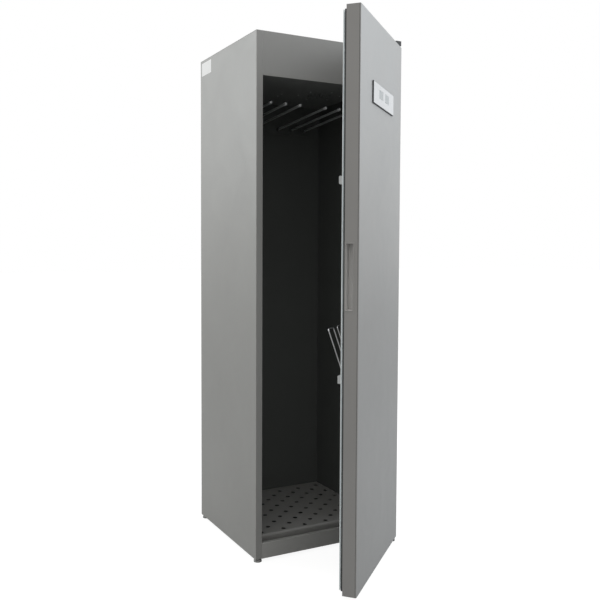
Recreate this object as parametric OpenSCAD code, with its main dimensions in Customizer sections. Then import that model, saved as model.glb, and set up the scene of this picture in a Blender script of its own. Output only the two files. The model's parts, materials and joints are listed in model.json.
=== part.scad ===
// Drying cabinet: a tall sheet-steel cabinet that dries wet outdoor clothes in warm air.
// Clothes hang on six rods, shoes stand on a lift-out tray, and gloves go on two
// folding racks inside the door. A fan and a heater sit in a bay above the ceiling.
//
// Lengths are in millimetres and angles in degrees. Seen from the front, X runs to the
// right, Y to the back and Z up. In the working frame x = 0 is the middle of the body,
// y = 0 the front of its frame and z = 0 the floor. The finished model is then moved
// so that its origin lies under the middle of the whole object.

/* [Cabinet] */
// Width of the body
body_w = 548; // [500:2:640]
// Depth of the body without the door
body_d = 516; // [470:2:620]
// Height of the body without its feet
body_h = 1805; // [1700:5:2000]
// Height of the body's underside above the floor
foot_h = 12; // [11:1:25]
// Thickness of the outer sheet steel
sheet_t = 0.8; // [0.6:0.1:1.2]
// Thickness of the inner lining sheets
liner_t = 0.8; // [0.6:0.1:1.2]
// Thickness of the side walls, from outer face to lining
wall_t = 24; // [23:1:36]
// Thickness of the back wall, from outer face to lining
back_wall_t = 20; // [16:1:40]

/* [Front frame] */
// Height of the header above the opening
header_h = 148; // [145:1:190]
// Height of the sill below the opening
sill_h = 55; // [45:1:80]
// Depth of the folded edge round the opening
frame_return = 14; // [10:1:18]
// Rise of the ceiling above the opening's top edge
ceiling_rise = 8; // [4:1:10]
// Width of the flanges that the rear and top panels are screwed to
flange_w = 20; // [14:1:22]
// Height of the base pan's and the ceiling's upturned edges
edge_h = 11; // [6:1:11]
// Height of the inner floor above the base pan
floor_rise = 12; // [11:1:18]

/* [Feet] */
// Distance of the foot centres from the body's sides
foot_inset = 15; // [15:1:18]
// Radius of a foot's pad
foot_r = 14; // [10:0.5:15]
// Thickness of a foot's pad
foot_pad_t = 7; // [4:0.5:7]
// Radius of a foot's neck
foot_neck_r = 8; // [6:0.5:9]
// Radius of a foot's threaded stud
stud_r = 4; // [3:0.5:5]
// Clearance round a stud
stud_clearance = 0.3; // [0.1:0.1:0.5]

/* [Door] */
// Angle that the door stands open at rest
door_open = 41.5; // [0:0.5:90]
// Distance of the door's edges from the body's sides
door_side_gap = 1; // [0:0.5:3]
// Distance of the door's ends from the body's top and bottom
door_end_gap = 2; // [2:0.5:4]
// Thickness of the door
door_t = 45; // [36:1:50]
// Gap between the closed door and the front frame
door_gap = 14; // [11:1:18]
// Thickness of the door's sheet steel
door_sheet_t = 0.8; // [0.6:0.1:1.2]
// Rounding of the door's long front edges
door_corner_r = 3; // [2:0.5:5]

/* [Door seal] */
// Distance of the seal from the door's edges
seal_inset = 12; // [10:1:18]
// Width of the seal's face
seal_w = 14; // [10:1:18]
// Width of the carrier that the seal is pushed on
carrier_w = 16; // [15:0.5:18]
// Thickness of the carrier
carrier_t = 8; // [6:0.5:9]
// Clearance between the closed door's seal and the frame
seal_clearance = 0.3; // [0.3:0.1:1]

/* [Hinges] */
// Radius of the hinge pins
pin_r = 4; // [3:0.5:5]
// Running clearance round the pins
pin_clearance = 0.05; // [0.02:0.01:0.08]
// Distance of the pins from the door's hinge edge
pin_inset = 12; // [11:1:16]
// Length of pin inside the door
pin_grip = 16; // [10:1:24]
// Outer radius of the bushes
bush_r = 7; // [6.5:0.5:8]
// Radius of the bushes' flanges
bush_flange_r = 9; // [8.5:0.5:10]
// Thickness of the bushes' flanges
bush_flange_t = 1; // [0.6:0.1:1.2]
// Thickness of the hinge plates
hinge_plate_t = 3; // [2:0.5:4]
// Width of the hinge plates
hinge_plate_w = 46; // [42:1:50]
// Length of the top hinge plate on the body
top_plate_seat = 22; // [18:1:24]
// Length of the bottom hinge plate under the body
bottom_plate_seat = 60; // [48:2:80]
// Length of the top hinge plate beyond its pin
plate_nose = 14; // [10:1:16]
// Length of the bottom hinge plate beyond its pin
bottom_nose = 19; // [14:1:20]
// Distance of a plate's narrow nose from its pin, sideways
nose_half = 8; // [7:0.5:9]
// Length behind the pin of the block under the bottom pin
block_back = 10; // [8:0.5:12]
// Height of the top hinge cover
cover_h = 17; // [16:1:30]
// Width of the top hinge cover
cover_w = 60; // [56:1:80]
// Length of the top hinge cover on the body
cover_seat = 27; // [27:1:40]
// Wall of the top hinge cover
cover_t = 2; // [1.5:0.5:2.5]

/* [Screws] */
// Radius of the hinge screws
hinge_screw_r = 2.5; // [2:0.25:3]
// Length of the hinge screws under the head
hinge_screw_l = 12; // [8:1:14]
// Radius of the panel screws
panel_screw_r = 2; // [1.5:0.25:2.5]
// Length of the panel screws under the head
panel_screw_l = 9; // [6:1:10]
// Clearance round every screw
screw_clearance = 0.2; // [0.1:0.05:0.4]

/* [Handle] */
// Height of the handle's middle above the floor
handle_z = 1002; // [850:1:1100]
// Length of the handle cup
handle_l = 205; // [150:5:240]
// Width of the handle cup
handle_w = 26; // [22:1:30]
// Distance of the handle cup from the door's inner face
handle_back = 2; // [1:0.5:4]
// Depth of the handle cup
handle_d = 34; // [26:1:45]
// Wall of the handle cup
handle_wall = 2; // [1.5:0.5:3]
// Width of the handle's rim on the door's edge
handle_rim = 2; // [1:0.5:2]
// Thickness of the handle's rim
handle_proud = 1.5; // [1:0.25:2]

/* [Control panel] */
// Width of the control panel
panel_w = 268; // [220:2:340]
// Height of the control panel
panel_h = 70; // [60:1:90]
// Thickness of the control panel
panel_proud = 5; // [4:0.5:8]
// Distance of the control panel's middle below the body's top
panel_drop = 235; // [180:1:400]
// Thickness of the panel's face plate
face_t = 1.5; // [1:0.25:2]
// Width of a key
key_w = 52; // [40:1:70]
// Height of a key
key_h = 26; // [16:1:32]
// Distance of the key centres from the panel's middle
key_x = 39; // [37:1:60]
// Height of the key centres above the panel's middle
key_rise = 4; // [0:1:14]
// Clearance round a key
key_gap = 0.4; // [0.3:0.1:0.8]
// Travel of a key
key_travel = 1.2; // [0.6:0.1:1.4]
// Thickness of a key
key_t = 2; // [1.6:0.1:2.2]

/* [Hanging rods] */
// Radius of a rod
rod_r = 4.5; // [4:0.5:7]
// Distance of the rods' front ends below the ceiling
rod_drop = 75; // [58:1:200]
// Distance of the rods' front ends from the front frame
rod_tip_y = 95; // [80:5:200]
// Angle that the rods rise to the front
rod_tilt = 3.75; // [0:0.25:8]
// Distance of the two middle rods from the cabinet's middle
rod_inner_x = 53; // [30:1:60]
// Spacing of the three rods on each side
rod_pitch = 59; // [40:1:62]
// Wall of the end caps round their rods
cap_t = 1; // [1:0.25:4]
// Length of an end cap on its rod
cap_grip = 12; // [8:1:16]
// Thickness of the rail that holds the rods
rail_t = 5; // [4:0.5:8]
// Height of the rail
rail_h = 40; // [30:1:60]
// Length of the rail beyond the outer rods
rail_end = 22; // [16:1:24]
// Wall of the rail's sockets round their rods
socket_t = 3.5; // [2:0.5:5]
// Length of the rail's sockets
socket_l = 16; // [10:1:24]
// Clearance round a rod in its socket and in its cap
rod_clearance = 0.05; // [0.02:0.01:0.1]

/* [Shoe tray] */
// Height of the tray's top above the floor
tray_z = 78; // [70:1:110]
// Distance of the tray's front from the front frame
tray_front = 44; // [24:1:60]
// Gap between the tray and the lining
tray_gap = 3; // [1:0.5:6]
// Thickness of the tray's sheet
tray_t = 1.2; // [1:0.1:2]
// Radius of the tray's rounded front edge
tray_nose_r = 8; // [4:0.5:12]
// Radius of the tray's holes
hole_r = 8.25; // [4:0.25:9]
// Spacing of the holes across the tray
hole_pitch_x = 88; // [40:1:120]
// Spacing of the rows of holes
hole_pitch_y = 38; // [20:1:60]
// Plain border between the outer holes and the tray's edges
hole_margin = 15; // [8:1:30]
// Height that the resting tray floats over the inner floor
tray_float = 0.4; // [0.3:0.1:0.6]

/* [Door racks] */
// Height of the upper rack's pivot above the floor
upper_rack_z = 1302; // [1180:1:1350]
// Height of the lower rack's pivot above the floor
lower_rack_z = 673; // [500:1:900]
// Angle that the upper rack is tilted out at rest
upper_rack_open = 0; // [0:0.5:45]
// Angle that the lower rack is tilted out at rest
lower_rack_open = 19.5; // [0:0.5:45]
// Number of loops on a rack
loop_count = 4; // [1:1:4]
// Spacing of the loops
loop_pitch = 94; // [70:1:96]
// Width of a loop, between its wires' middles
loop_w = 54; // [40:1:60]
// Length of a loop above the pivot
loop_l = 167; // [100:1:220]
// Radius of the loop wire
wire_r = 2; // [1.5:0.25:2]
// Radius of the bends in the loop wire
bend_r = 9; // [6:0.5:12]
// Radius of the rack's pivot rod
pivot_r = 2.5; // [2.5:0.25:3]
// Distance of the pivot rod from the door's inner face
pivot_out = 29; // [24:1:32]
// Running clearance round the pivot rod
pivot_clearance = 0.05; // [0.02:0.01:0.08]
// Distance between the outer faces of a holder's end blocks
holder_l = 386; // [370:2:400]
// Width of a holder's end block
block_w = 20; // [14:1:22]
// Height of a holder
holder_h = 26; // [20:1:34]
// Depth of a holder's end block
block_d = 44.5; // [44:0.5:56]
// Rounding of an end block's outer edges
block_round = 3; // [2:0.5:5]
// Thickness of a holder's back strip
strip_t = 3; // [2:0.5:5]

/* [Fan bay] */
// Distance of the fan's middle from the body's right side
fan_inset = 164; // [154:1:184]
// Distance of the fan's middle from the body's back
fan_behind = 266; // [256:1:296]
// Radius of the fan housing
housing_r = 95; // [86:1:100]
// Height of the fan housing
housing_h = 78; // [72:1:80]
// Sheet thickness of the fan housing and the heater duct
duct_t = 1.5; // [1:0.1:2]
// Radius of the fan wheel
wheel_r = 75; // [60:1:76]
// Height of the fan wheel
wheel_h = 58; // [40:1:58]
// Number of blades on the fan wheel
blade_count = 24; // [12:1:32]
// Length of a fan blade
blade_l = 13; // [8:0.5:14]
// Thickness of a fan blade
blade_t = 1.2; // [0.8:0.1:2]
// Pitch angle of a fan blade
blade_pitch = 30; // [0:1:40]
// Radius of the fan shaft
shaft_r = 4; // [3:0.5:5]
// Running clearance round the fan shaft
shaft_clearance = 0.05; // [0.02:0.01:0.08]
// Radius of the fan motor
motor_r = 32; // [24:1:40]
// Height of the fan motor
motor_h = 42; // [30:1:46]
// Radius of the air intake under the fan
intake_r = 46; // [36:1:50]
// Length of the fan's outlet from the fan's middle
outlet_l = 130; // [110:1:140]
// Width of the air duct
duct_w = 70; // [50:1:74]
// Length of the heater duct
heater_l = 170; // [150:2:180]
// Number of heater rods
heater_rods = 4; // [1:1:4]
// Spacing of the heater rods
heater_pitch = 22; // [12:1:22]
// Radius of a heater rod
heater_r = 3.5; // [2.5:0.25:4.5]
// Radius of the exhaust duct
exhaust_r = 50; // [40:1:55]
// Distance of the exhaust duct's middle from the body's left side
exhaust_inset = 124; // [104:1:154]
// Distance of the exhaust duct's middle from the body's back
exhaust_behind = 106; // [96:1:108]
// Height of the exhaust duct above the top panel
exhaust_h = 45; // [30:1:80]
// Radius of the hole for the mains cable
cable_hole_r = 4.5; // [3:0.25:5.5]

/* [Wall bracket] */
// Width of the wall bracket
bracket_w = 70; // [60:2:100]
// Height of the wall bracket
bracket_h = 40; // [30:1:60]
// Depth of the wall bracket on the top panel
bracket_d = 32; // [24:1:50]
// Thickness of the wall bracket
bracket_t = 2; // [1.5:0.5:4]
// Spacing of the bracket's wall holes
bracket_pitch = 44; // [30:1:50]
// Radius of the bracket's wall holes
bracket_hole_r = 3.5; // [2.5:0.25:4.5]

/* [Hidden] */
// Heights
body_top = foot_h + body_h;
opening_bottom = foot_h + sill_h;
opening_top = body_top - header_h;
ceiling_z = opening_top + ceiling_rise;
bay_floor = ceiling_z + sheet_t;
base_top = foot_h + sheet_t;
floor_top = base_top + floor_rise + liner_t;
insulation_bottom = base_top + edge_h;
liner_top = bay_floor + edge_h;

// Widths and depths
half_w = body_w / 2;
inner_half = half_w - wall_t;
inner_back = body_d - back_wall_t;
insulation_inner = inner_half + max(sheet_t, liner_t);

// Feet
foot_bevel = 2;
stud_gap = 0.5;

// Door in its closed place
door_w = body_w - 2 * door_side_gap;
door_half = door_w / 2;
door_back = -door_gap;
door_front = door_back - door_t;
door_bottom = foot_h + door_end_gap;
door_top = body_top - door_end_gap;
door_h = door_top - door_bottom;
pin_x = door_half - pin_inset;
pin_y = door_back - door_t / 2;
seal_t = door_gap - carrier_t - seal_clearance;

// The whole object's footprint at rest, which sets the origin
corner_side = pin_inset - door_corner_r;
corner_deep = door_t / 2 - door_corner_r;
corner_reach = door_w - pin_inset - door_corner_r;
panel_reach = door_half + panel_w / 2 - pin_inset;
reach_hinge = pin_x + corner_side * cos(door_open) + corner_deep * sin(door_open) + door_corner_r;
reach_right = max(half_w, reach_hinge);
reach_door = pin_y - corner_reach * sin(door_open) - corner_deep * cos(door_open) - door_corner_r;
reach_panel = pin_y - panel_reach * sin(door_open) - (door_t / 2 + panel_proud) * cos(door_open);
reach_front = min(reach_door, reach_panel);
origin_x = (reach_right - half_w) / 2;
origin_y = (body_d + reach_front) / 2;

// Hinges
bush_l = pin_grip + 2;
cover_room = 1;
plate_right = half_w - cover_t - cover_room;
plate_left = plate_right - hinge_plate_w;
nose_left = pin_x - nose_half;
block_lift = 1;
hinge_screw_inset = 10;
hinge_screw_x = [plate_left + hinge_screw_inset, plate_right - hinge_screw_inset];
top_hinge_screw_y = top_plate_seat / 2;
bottom_hinge_screw_y = bottom_plate_seat - hinge_screw_inset;

// Screws, and the rear panel's stepped sides that their heads are sunk in
head_width = 1.8;
head_height = 1.1;
rear_step = head_height * panel_screw_r + 0.8;
strip_back = body_d - rear_step;
flange_back = strip_back - sheet_t;
field_half = half_w - flange_w - 2 * sheet_t;
rear_screw_count = 7;
rear_screw_end = 60;
rear_screw_x = half_w - flange_w / 2;
insulation_end = strip_back - panel_screw_l - 1;
fan_screw_count = 6;
fan_screw_ring = wheel_r + panel_screw_r + 3;
fan_screw_start = 37;
duct_screw_inset = 10;

// Handle
handle_y = door_back - handle_back - handle_w / 2;

// Control panel
face_front = door_front - panel_proud;
face_inset = 1.5;
face_lip = 0.75;
panel_z = body_top - panel_drop;
key_z = panel_z + key_rise;
key_pocket_d = 2;
key_stop = 0.3;
board_w = 2 * key_x + key_w + 16;
board_h = key_h + 14;
board_t = 1.6;
board_room = 6;

// Hanging rods
rods_per_side = 3;
rod_count = 2 * rods_per_side;
rod_tip_z = ceiling_z - rod_drop;
rail_face = inner_back - rail_t;
rod_run = (inner_back - 1.5 - rod_r * sin(rod_tilt) - rod_tip_y) / cos(rod_tilt);
rail_z = rod_tip_z - (rail_face - rod_tip_y) * tan(rod_tilt);
rail_half = rod_inner_x + (rods_per_side - 1) * rod_pitch + rail_end;
cap_r = rod_r + cap_t;
cap_nose = cap_r - sqrt(pow(cap_r, 2) - pow(rod_r + cap_t * 0.3, 2));
socket_r = rod_r + socket_t;

// Shoe tray
tray_half = inner_half - tray_gap;
tray_back = inner_back - tray_gap;
tray_bottom = floor_top + tray_float;
hole_area_half = tray_half - hole_margin - hole_r;
hole_first_y = tray_front + tray_nose_r + hole_margin;
hole_last_y = tray_back - hole_margin - hole_r;
hole_rows = floor((hole_last_y - hole_first_y) / hole_pitch_y) + 1;

// Door racks
pivot_y = door_back + pivot_out;
pivot_l = holder_l - 8;

// Fan bay
fan_x = half_w - fan_inset;
fan_y = body_d - fan_behind;
exhaust_x = exhaust_inset - half_w;
exhaust_y = body_d - exhaust_behind;
heater_inset = 20;
heater_room = 8;
duct_y = fan_y + housing_r - duct_w;
heater_right = fan_x - outlet_l;
heater_left = heater_right - heater_l;
heater_u = duct_w / 2 - 2 * duct_t - heater_r - heater_room;
heater_first_x = heater_right - heater_inset;
wheel_floor = bay_floor + (housing_h - wheel_h) / 2;
shaft_l = 28;
vent_slots = 6;
vent_pitch = 9;
vent_w = 4;
vent_end = 6;
vent_left = heater_left + vent_end + vent_w;
louvre_count = 12;
louvre_pitch = 12;
louvre_l = 60;
louvre_w = 4;
louvre_x = half_w - 214;
duct_clearance = 0.1;
collar_t = 2;
intake_rings = 3;
ring_holes = 6;
intake_hole_r = 3.9;
heater_foot = 20;
heater_tail = 6;
bus_w = 10;
bus_t = 2;
bus_end = 6;
bus_lift = 2;
motor_cap_h = 6;
motor_cap_step = 10;
motor_flange_w = 8;
motor_flange_t = 3;
cutout_inset = 25;
cutout_r = 8;
cutout_h = 11;
cutout_flange_w = 4;
cutout_flange_t = 2;
cutout_tab_y = 4;
cutout_tab_w = 4;
cutout_tab_t = 2;
cutout_tab_h = 7;
post_r = 3;
post_inset = 6;
relay_count = 3;
relay_pitch = 24;
relay_first = [-40, 8, 0];
relay_size = [20, 16, 17];
terminal_place = [-44, -30, 0];
terminal_size = [60, 14, 14];
capacitor_place = [38, -18, 0];
capacitor_r = 8;
capacitor_h = 24;
switch_x = 174 - half_w;
switch_rise = 36;
switch_w = 32;
switch_d = 11;
switch_h = 12;
plug_w = 12;
plug_l = 4;
plug_h = 6;
top_collar_w = 12;
low_collar_w = 8;
gland_x = half_w - 84;
gland_y = body_d - 76;
gland_r = 10;
gland_nut_r = 14;
gland_nut_h = 5;
gland_tail = 10;
gland_h = 16;
power_x = half_w - 134;
power_y = 70;
power_w = 110;
power_d = 76;
post_h = 10;

// Wall bracket
bracket_hole_z = body_top + bracket_h - 16;

function rod_name(i) = str("hanging_rod_", i + 1);

$fn = 64;

// Colours of the finishes
side_grey = [0.66, 0.68, 0.67];
frame_grey = [0.48, 0.49, 0.48];
door_grey = [0.70, 0.72, 0.73];
liner_dark = [0.17, 0.17, 0.17];
tray_dark = [0.24, 0.24, 0.23];
zinc = [0.62, 0.64, 0.66];
steel = [0.72, 0.73, 0.74];
foam = [0.88, 0.86, 0.76];
plastic_dark = [0.24, 0.25, 0.26];
plastic_light = [0.80, 0.82, 0.83];
plastic_white = [0.90, 0.91, 0.92];
window_grey = [0.75, 0.78, 0.80];
board_green = [0.16, 0.38, 0.24];
rubber_grey = [0.70, 0.74, 0.77];

// ---- Helpers ----

// A box given by its lowest and highest corners
module block(low, high) {
    translate(low) cube(high - low);
}

// A copy on each side of the middle plane
module both_sides() {
    children();
    mirror([1, 0, 0]) children();
}

// Colours a piece of the cabinet and moves it to the model's origin
module cabinet_part(finish) {
    color(finish) translate([-origin_x, -origin_y, 0]) children();
}

// Colours a piece that is drawn in the closed door's place, and swings it open with the door
module door_part(finish) {
    cabinet_part(finish)
        translate([pin_x, pin_y, 0])
        rotate([0, 0, door_open])
        translate([-pin_x, -pin_y, 0])
        children();
}

// A cylinder along Y whose middle line starts at a point and runs to the back
module cylinder_y(r, l) {
    rotate([-90, 0, 0]) cylinder(r = r, h = l);
}

// A cylinder along X that is centred on the origin
module cylinder_x(r, l) {
    rotate([0, 90, 0]) cylinder(r = r, h = l, center = true);
}

// Puts children on each foot's stud
module at_feet() {
    for (x = [-1, 1] * (half_w - foot_inset), y = [foot_inset, body_d - foot_inset])
        translate([x, y, 0]) children();
}

// ---- Outer casing ----

// Heights of the rear panel's screws
function rear_screw_z(i) =
    foot_h + rear_screw_end + i * (body_h - 2 * rear_screw_end) / (rear_screw_count - 1);

// Puts children on the middle line of every rear panel screw, on the panel's stepped sides
module at_rear_screws() {
    for (side = [-1, 1], i = [0 : rear_screw_count - 1])
        translate([side * rear_screw_x, strip_back, rear_screw_z(i)]) children();
}

module rear_screw_holes() {
    at_rear_screws()
        translate([0, -3 * sheet_t, 0]) cylinder_y(panel_screw_r + screw_clearance, 4 * sheet_t);
}

// Holes for the hinge screws through the plates and the sheets behind them
module hinge_screw_holes() {
    hole = hinge_screw_r + screw_clearance;
    for (x = hinge_screw_x) {
        translate([x, top_hinge_screw_y, body_top - 3 * sheet_t])
            cylinder(r = hole, h = 3 * sheet_t + hinge_plate_t + 1);
        translate([x, bottom_hinge_screw_y, foot_h - hinge_plate_t - 1])
            cylinder(r = hole, h = hinge_plate_t + 2 * sheet_t + 1);
    }
}

// A right-hand side panel: outer sheet, front flange with its folded return,
// and the flanges that the rear and top panels are screwed to
module side_panel() {
    panel_top = body_top - sheet_t;
    difference() {
        union() {
            block([half_w - sheet_t, 0, foot_h], [half_w, body_d, panel_top]);
            block([inner_half, 0, foot_h], [half_w, sheet_t, panel_top]);
            block([inner_half, 0, base_top], [inner_half + sheet_t, frame_return, panel_top]);
            block([half_w - flange_w - sheet_t, flange_back - sheet_t, foot_h],
                  [half_w, flange_back, panel_top]);
            block([half_w - flange_w, 0, panel_top - sheet_t], [half_w, flange_back, panel_top]);
        }
        rear_screw_holes();
    }
}

module left_side_panel() {
    cabinet_part(side_grey) mirror([1, 0, 0]) side_panel();
}

module right_side_panel() {
    cabinet_part(side_grey) difference() {
        side_panel();
        hinge_screw_holes();
    }
}

module top_panel() {
    cabinet_part(side_grey) difference() {
        block([-half_w, 0, body_top - sheet_t], [half_w, body_d, body_top]);
        translate([exhaust_x, exhaust_y, body_top - 2 * sheet_t])
            cylinder(r = exhaust_r + duct_clearance, h = 3 * sheet_t);
        translate([gland_x, gland_y, body_top - 2 * sheet_t])
            cylinder(r = gland_r + duct_clearance, h = 3 * sheet_t);
        hinge_screw_holes();
    }
}

// Rear panel: a flat field between two stepped sides, with air slots behind the fan bay
module rear_panel() {
    panel_top = body_top - sheet_t;
    slot_low = (bay_floor + panel_top - louvre_l) / 2;
    cabinet_part(zinc) difference() {
        union() {
            block([-field_half, body_d - sheet_t, foot_h], [field_half, body_d, panel_top]);
            both_sides() {
                block([field_half - sheet_t, flange_back, foot_h], [field_half, body_d, panel_top]);
                block([field_half - sheet_t, flange_back, foot_h], [half_w - sheet_t, strip_back, panel_top]);
            }
        }
        for (i = [0 : louvre_count - 1])
            translate([louvre_x + (i - (louvre_count - 1) / 2) * louvre_pitch, body_d, slot_low])
                block([-louvre_w / 2, -2 * sheet_t, 0], [louvre_w / 2, sheet_t, louvre_l]);
        rear_screw_holes();
    }
}

// Base pan with upturned edges and a hole for each foot
module base_pan() {
    pan_half = half_w - sheet_t;
    pan_back = flange_back - sheet_t;
    edge_top = base_top + edge_h;
    cabinet_part(zinc) difference() {
        union() {
            block([-pan_half, sheet_t, foot_h], [pan_half, pan_back, base_top]);
            both_sides()
                block([pan_half - sheet_t, sheet_t, foot_h], [pan_half, pan_back, edge_top]);
            block([-inner_half, sheet_t, foot_h], [inner_half, 2 * sheet_t, edge_top]);
            block([-pan_half, pan_back - sheet_t, foot_h], [pan_half, pan_back, edge_top]);
        }
        at_feet() translate([0, 0, foot_h - 1])
            cylinder(r = stud_r + stud_clearance, h = sheet_t + 2);
        hinge_screw_holes();
    }
}

// Header above the opening; its lower edge is folded in and up to carry the ceiling
module header_panel() {
    cabinet_part(frame_grey) {
        block([-inner_half, 0, opening_top], [inner_half, sheet_t, body_top - sheet_t]);
        block([-inner_half, 0, opening_top], [inner_half, frame_return, opening_top + sheet_t]);
        block([-inner_half, frame_return - sheet_t, opening_top], [inner_half, frame_return, ceiling_z]);
    }
}

// Sill below the opening; its upper edge is folded in and down to the base pan
module sill_panel() {
    cabinet_part(frame_grey) {
        block([-inner_half, 0, foot_h], [inner_half, sheet_t, opening_bottom]);
        block([-inner_half, 0, opening_bottom - sheet_t], [inner_half, frame_return, opening_bottom]);
        block([-inner_half, frame_return - sheet_t, base_top], [inner_half, frame_return, opening_bottom]);
    }
}

// ---- Lining and insulation ----

// Lining of the right-hand wall
module liner_side() {
    block([inner_half, frame_return, base_top],
          [inner_half + liner_t, inner_back + liner_t, liner_top]);
}

module liner_left() {
    cabinet_part(liner_dark) mirror([1, 0, 0]) liner_side();
}

module liner_right() {
    cabinet_part(liner_dark) liner_side();
}

module liner_back() {
    cabinet_part(liner_dark)
        block([-inner_half, inner_back, base_top], [inner_half, inner_back + liner_t, liner_top]);
}

// Places of the screws that hold the fan housing and the heater duct to the ceiling
module at_ceiling_screws() {
    for (i = [0 : fan_screw_count - 1])
        translate([fan_x, fan_y, ceiling_z])
            rotate([0, 0, fan_screw_start + 360 * i / fan_screw_count])
            translate([fan_screw_ring, 0, 0])
            children();
    for (side = [-1, 1])
        translate([heater_right - duct_screw_inset, duct_y + duct_w / 2 + side * duct_w / 4, ceiling_z])
            children();
}

// Holes for the ceiling screws, up to a height above the bay's floor
module ceiling_screw_holes(height) {
    at_ceiling_screws() translate([0, 0, -1])
        cylinder(r = panel_screw_r + screw_clearance, h = sheet_t + height + 1, $fn = 32);
}

// Rings of round holes that let air through the ceiling to the fan
module intake_holes() {
    ring_step = (intake_r - intake_hole_r) / intake_rings;
    cylinder(r = intake_hole_r, h = sheet_t + 2);
    for (ring = [1 : intake_rings], i = [0 : ring_holes * ring - 1])
        rotate([0, 0, 360 * i / (ring_holes * ring)])
            translate([ring * ring_step, 0, 0])
            cylinder(r = intake_hole_r, h = sheet_t + 2);
}

// Ceiling with the fan's air intake, a slotted air outlet and the exhaust hole
module ceiling_panel() {
    front = frame_return - sheet_t;
    cabinet_part(liner_dark) difference() {
        union() {
            block([-inner_half, front, ceiling_z], [inner_half, inner_back, bay_floor]);
            both_sides()
                block([inner_half - sheet_t, front, ceiling_z], [inner_half, inner_back, liner_top]);
            block([-inner_half, front, ceiling_z], [inner_half, front + sheet_t, liner_top]);
            block([-inner_half, inner_back - sheet_t, ceiling_z], [inner_half, inner_back, liner_top]);
        }
        translate([fan_x, fan_y, ceiling_z - 1]) intake_holes();
        for (i = [0 : vent_slots - 1])
            translate([vent_left + i * vent_pitch, duct_y + vent_end, ceiling_z - 1])
                cube([vent_w, duct_w - 2 * vent_end, sheet_t + 2]);
        translate([exhaust_x, exhaust_y, ceiling_z - 1])
            cylinder(r = exhaust_r + duct_clearance, h = sheet_t + 2);
        ceiling_screw_holes(1);
    }
}

// Inner floor: a sheet on folded edges that stand on the base pan
module inner_floor() {
    front = frame_return;
    cabinet_part(liner_dark) difference() {
        block([-inner_half, front, base_top], [inner_half, inner_back, floor_top]);
        block([-inner_half + liner_t, front + liner_t, base_top - 1],
              [inner_half - liner_t, inner_back - liner_t, floor_top - liner_t]);
    }
}

// Insulation of the right-hand wall, short of the rear panel's screws
module insulation_side() {
    block([insulation_inner, sheet_t, insulation_bottom],
          [half_w - sheet_t, insulation_end, ceiling_z]);
}

module insulation_left() {
    cabinet_part(foam) mirror([1, 0, 0]) insulation_side();
}

module insulation_right() {
    cabinet_part(foam) insulation_side();
}

module insulation_back() {
    cabinet_part(foam)
        block([-inner_half, inner_back + liner_t, insulation_bottom],
              [inner_half, flange_back, ceiling_z]);
}

// ---- Hanging rods ----

// Sideways place of a rod, counted from the left
function rod_x(i) =
    i < rods_per_side
        ? -rod_inner_x - (rods_per_side - 1 - i) * rod_pitch
        : rod_inner_x + (i - rods_per_side) * rod_pitch;

// Puts children at a rod's front end, with Y along the rod to the back
module at_rod(i) {
    translate([rod_x(i), rod_tip_y, rod_tip_z])
        rotate([-rod_tilt, 0, 0])
        children();
}

module hanging_rod(i) {
    cabinet_part(steel)
        at_rod(i)
        translate([0, cap_nose, 0])
        cylinder_y(rod_r, rod_run - cap_nose);
}

// A round cap on the front end of every rod
module rod_caps() {
    cabinet_part(plastic_light)
        for (i = [0 : rod_count - 1])
            at_rod(i) difference() {
                union() {
                    translate([0, cap_r, 0]) sphere(r = cap_r);
                    translate([0, cap_r, 0]) cylinder_y(cap_r, cap_nose + cap_grip - cap_r);
                }
                translate([0, cap_nose, 0]) cylinder_y(rod_r + rod_clearance, 2 * cap_grip);
            }
}

// Rail on the back wall with a sloping socket for every rod
module rod_rail() {
    socket_start = (rail_face - rod_tip_y) / cos(rod_tilt) - socket_l;
    cabinet_part(zinc) difference() {
        union() {
            block([-rail_half, rail_face, rail_z - rail_h / 2],
                  [rail_half, inner_back, rail_z + rail_h / 2]);
            for (i = [0 : rod_count - 1])
                at_rod(i) translate([0, socket_start, 0]) cylinder_y(socket_r, socket_l + rail_t / 2);
        }
        for (i = [0 : rod_count - 1])
            at_rod(i)
                translate([0, socket_start - 1, 0])
                cylinder_y(rod_r + rod_clearance, socket_l + 2 * rail_t + 2);
    }
}

// ---- Shoe tray ----

// Outer shape of the tray, with its rounded front edge
module tray_outer() {
    block([-tray_half, tray_front + tray_nose_r, tray_bottom], [tray_half, tray_back, tray_z]);
    block([-tray_half, tray_front, tray_bottom], [tray_half, tray_back, tray_z - tray_nose_r]);
    translate([0, tray_front + tray_nose_r, tray_z - tray_nose_r])
        cylinder_x(tray_nose_r, 2 * tray_half);
}

// Space under the tray's sheet
module tray_inner() {
    inner = tray_half - tray_t;
    nose_z = tray_z - tray_nose_r;
    block([-inner, tray_front + tray_nose_r, tray_bottom - 1], [inner, tray_back - tray_t, tray_z - tray_t]);
    block([-inner, tray_front + tray_t, tray_bottom - 1], [inner, tray_back - tray_t, nose_z]);
    translate([0, tray_front + tray_nose_r, nose_z])
        cylinder_x(tray_nose_r - tray_t, 2 * inner);
}

// Rows of holes, every second row shifted by half a pitch
module tray_holes() {
    for (row = [0 : hole_rows - 1]) {
        shift = (row % 2 == 0) ? 0.5 : 0;
        last = floor(hole_area_half / hole_pitch_x - shift);
        for (k = [-last - 2 * shift : last])
            translate([(k + shift) * hole_pitch_x, hole_first_y + row * hole_pitch_y, tray_z - 2 * tray_t])
                cylinder(r = hole_r, h = 3 * tray_t, $fn = 32);
    }
}

module shoe_tray() {
    cabinet_part(tray_dark) difference() {
        tray_outer();
        tray_inner();
        tray_holes();
    }
}

// ---- Fan bay ----

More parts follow.
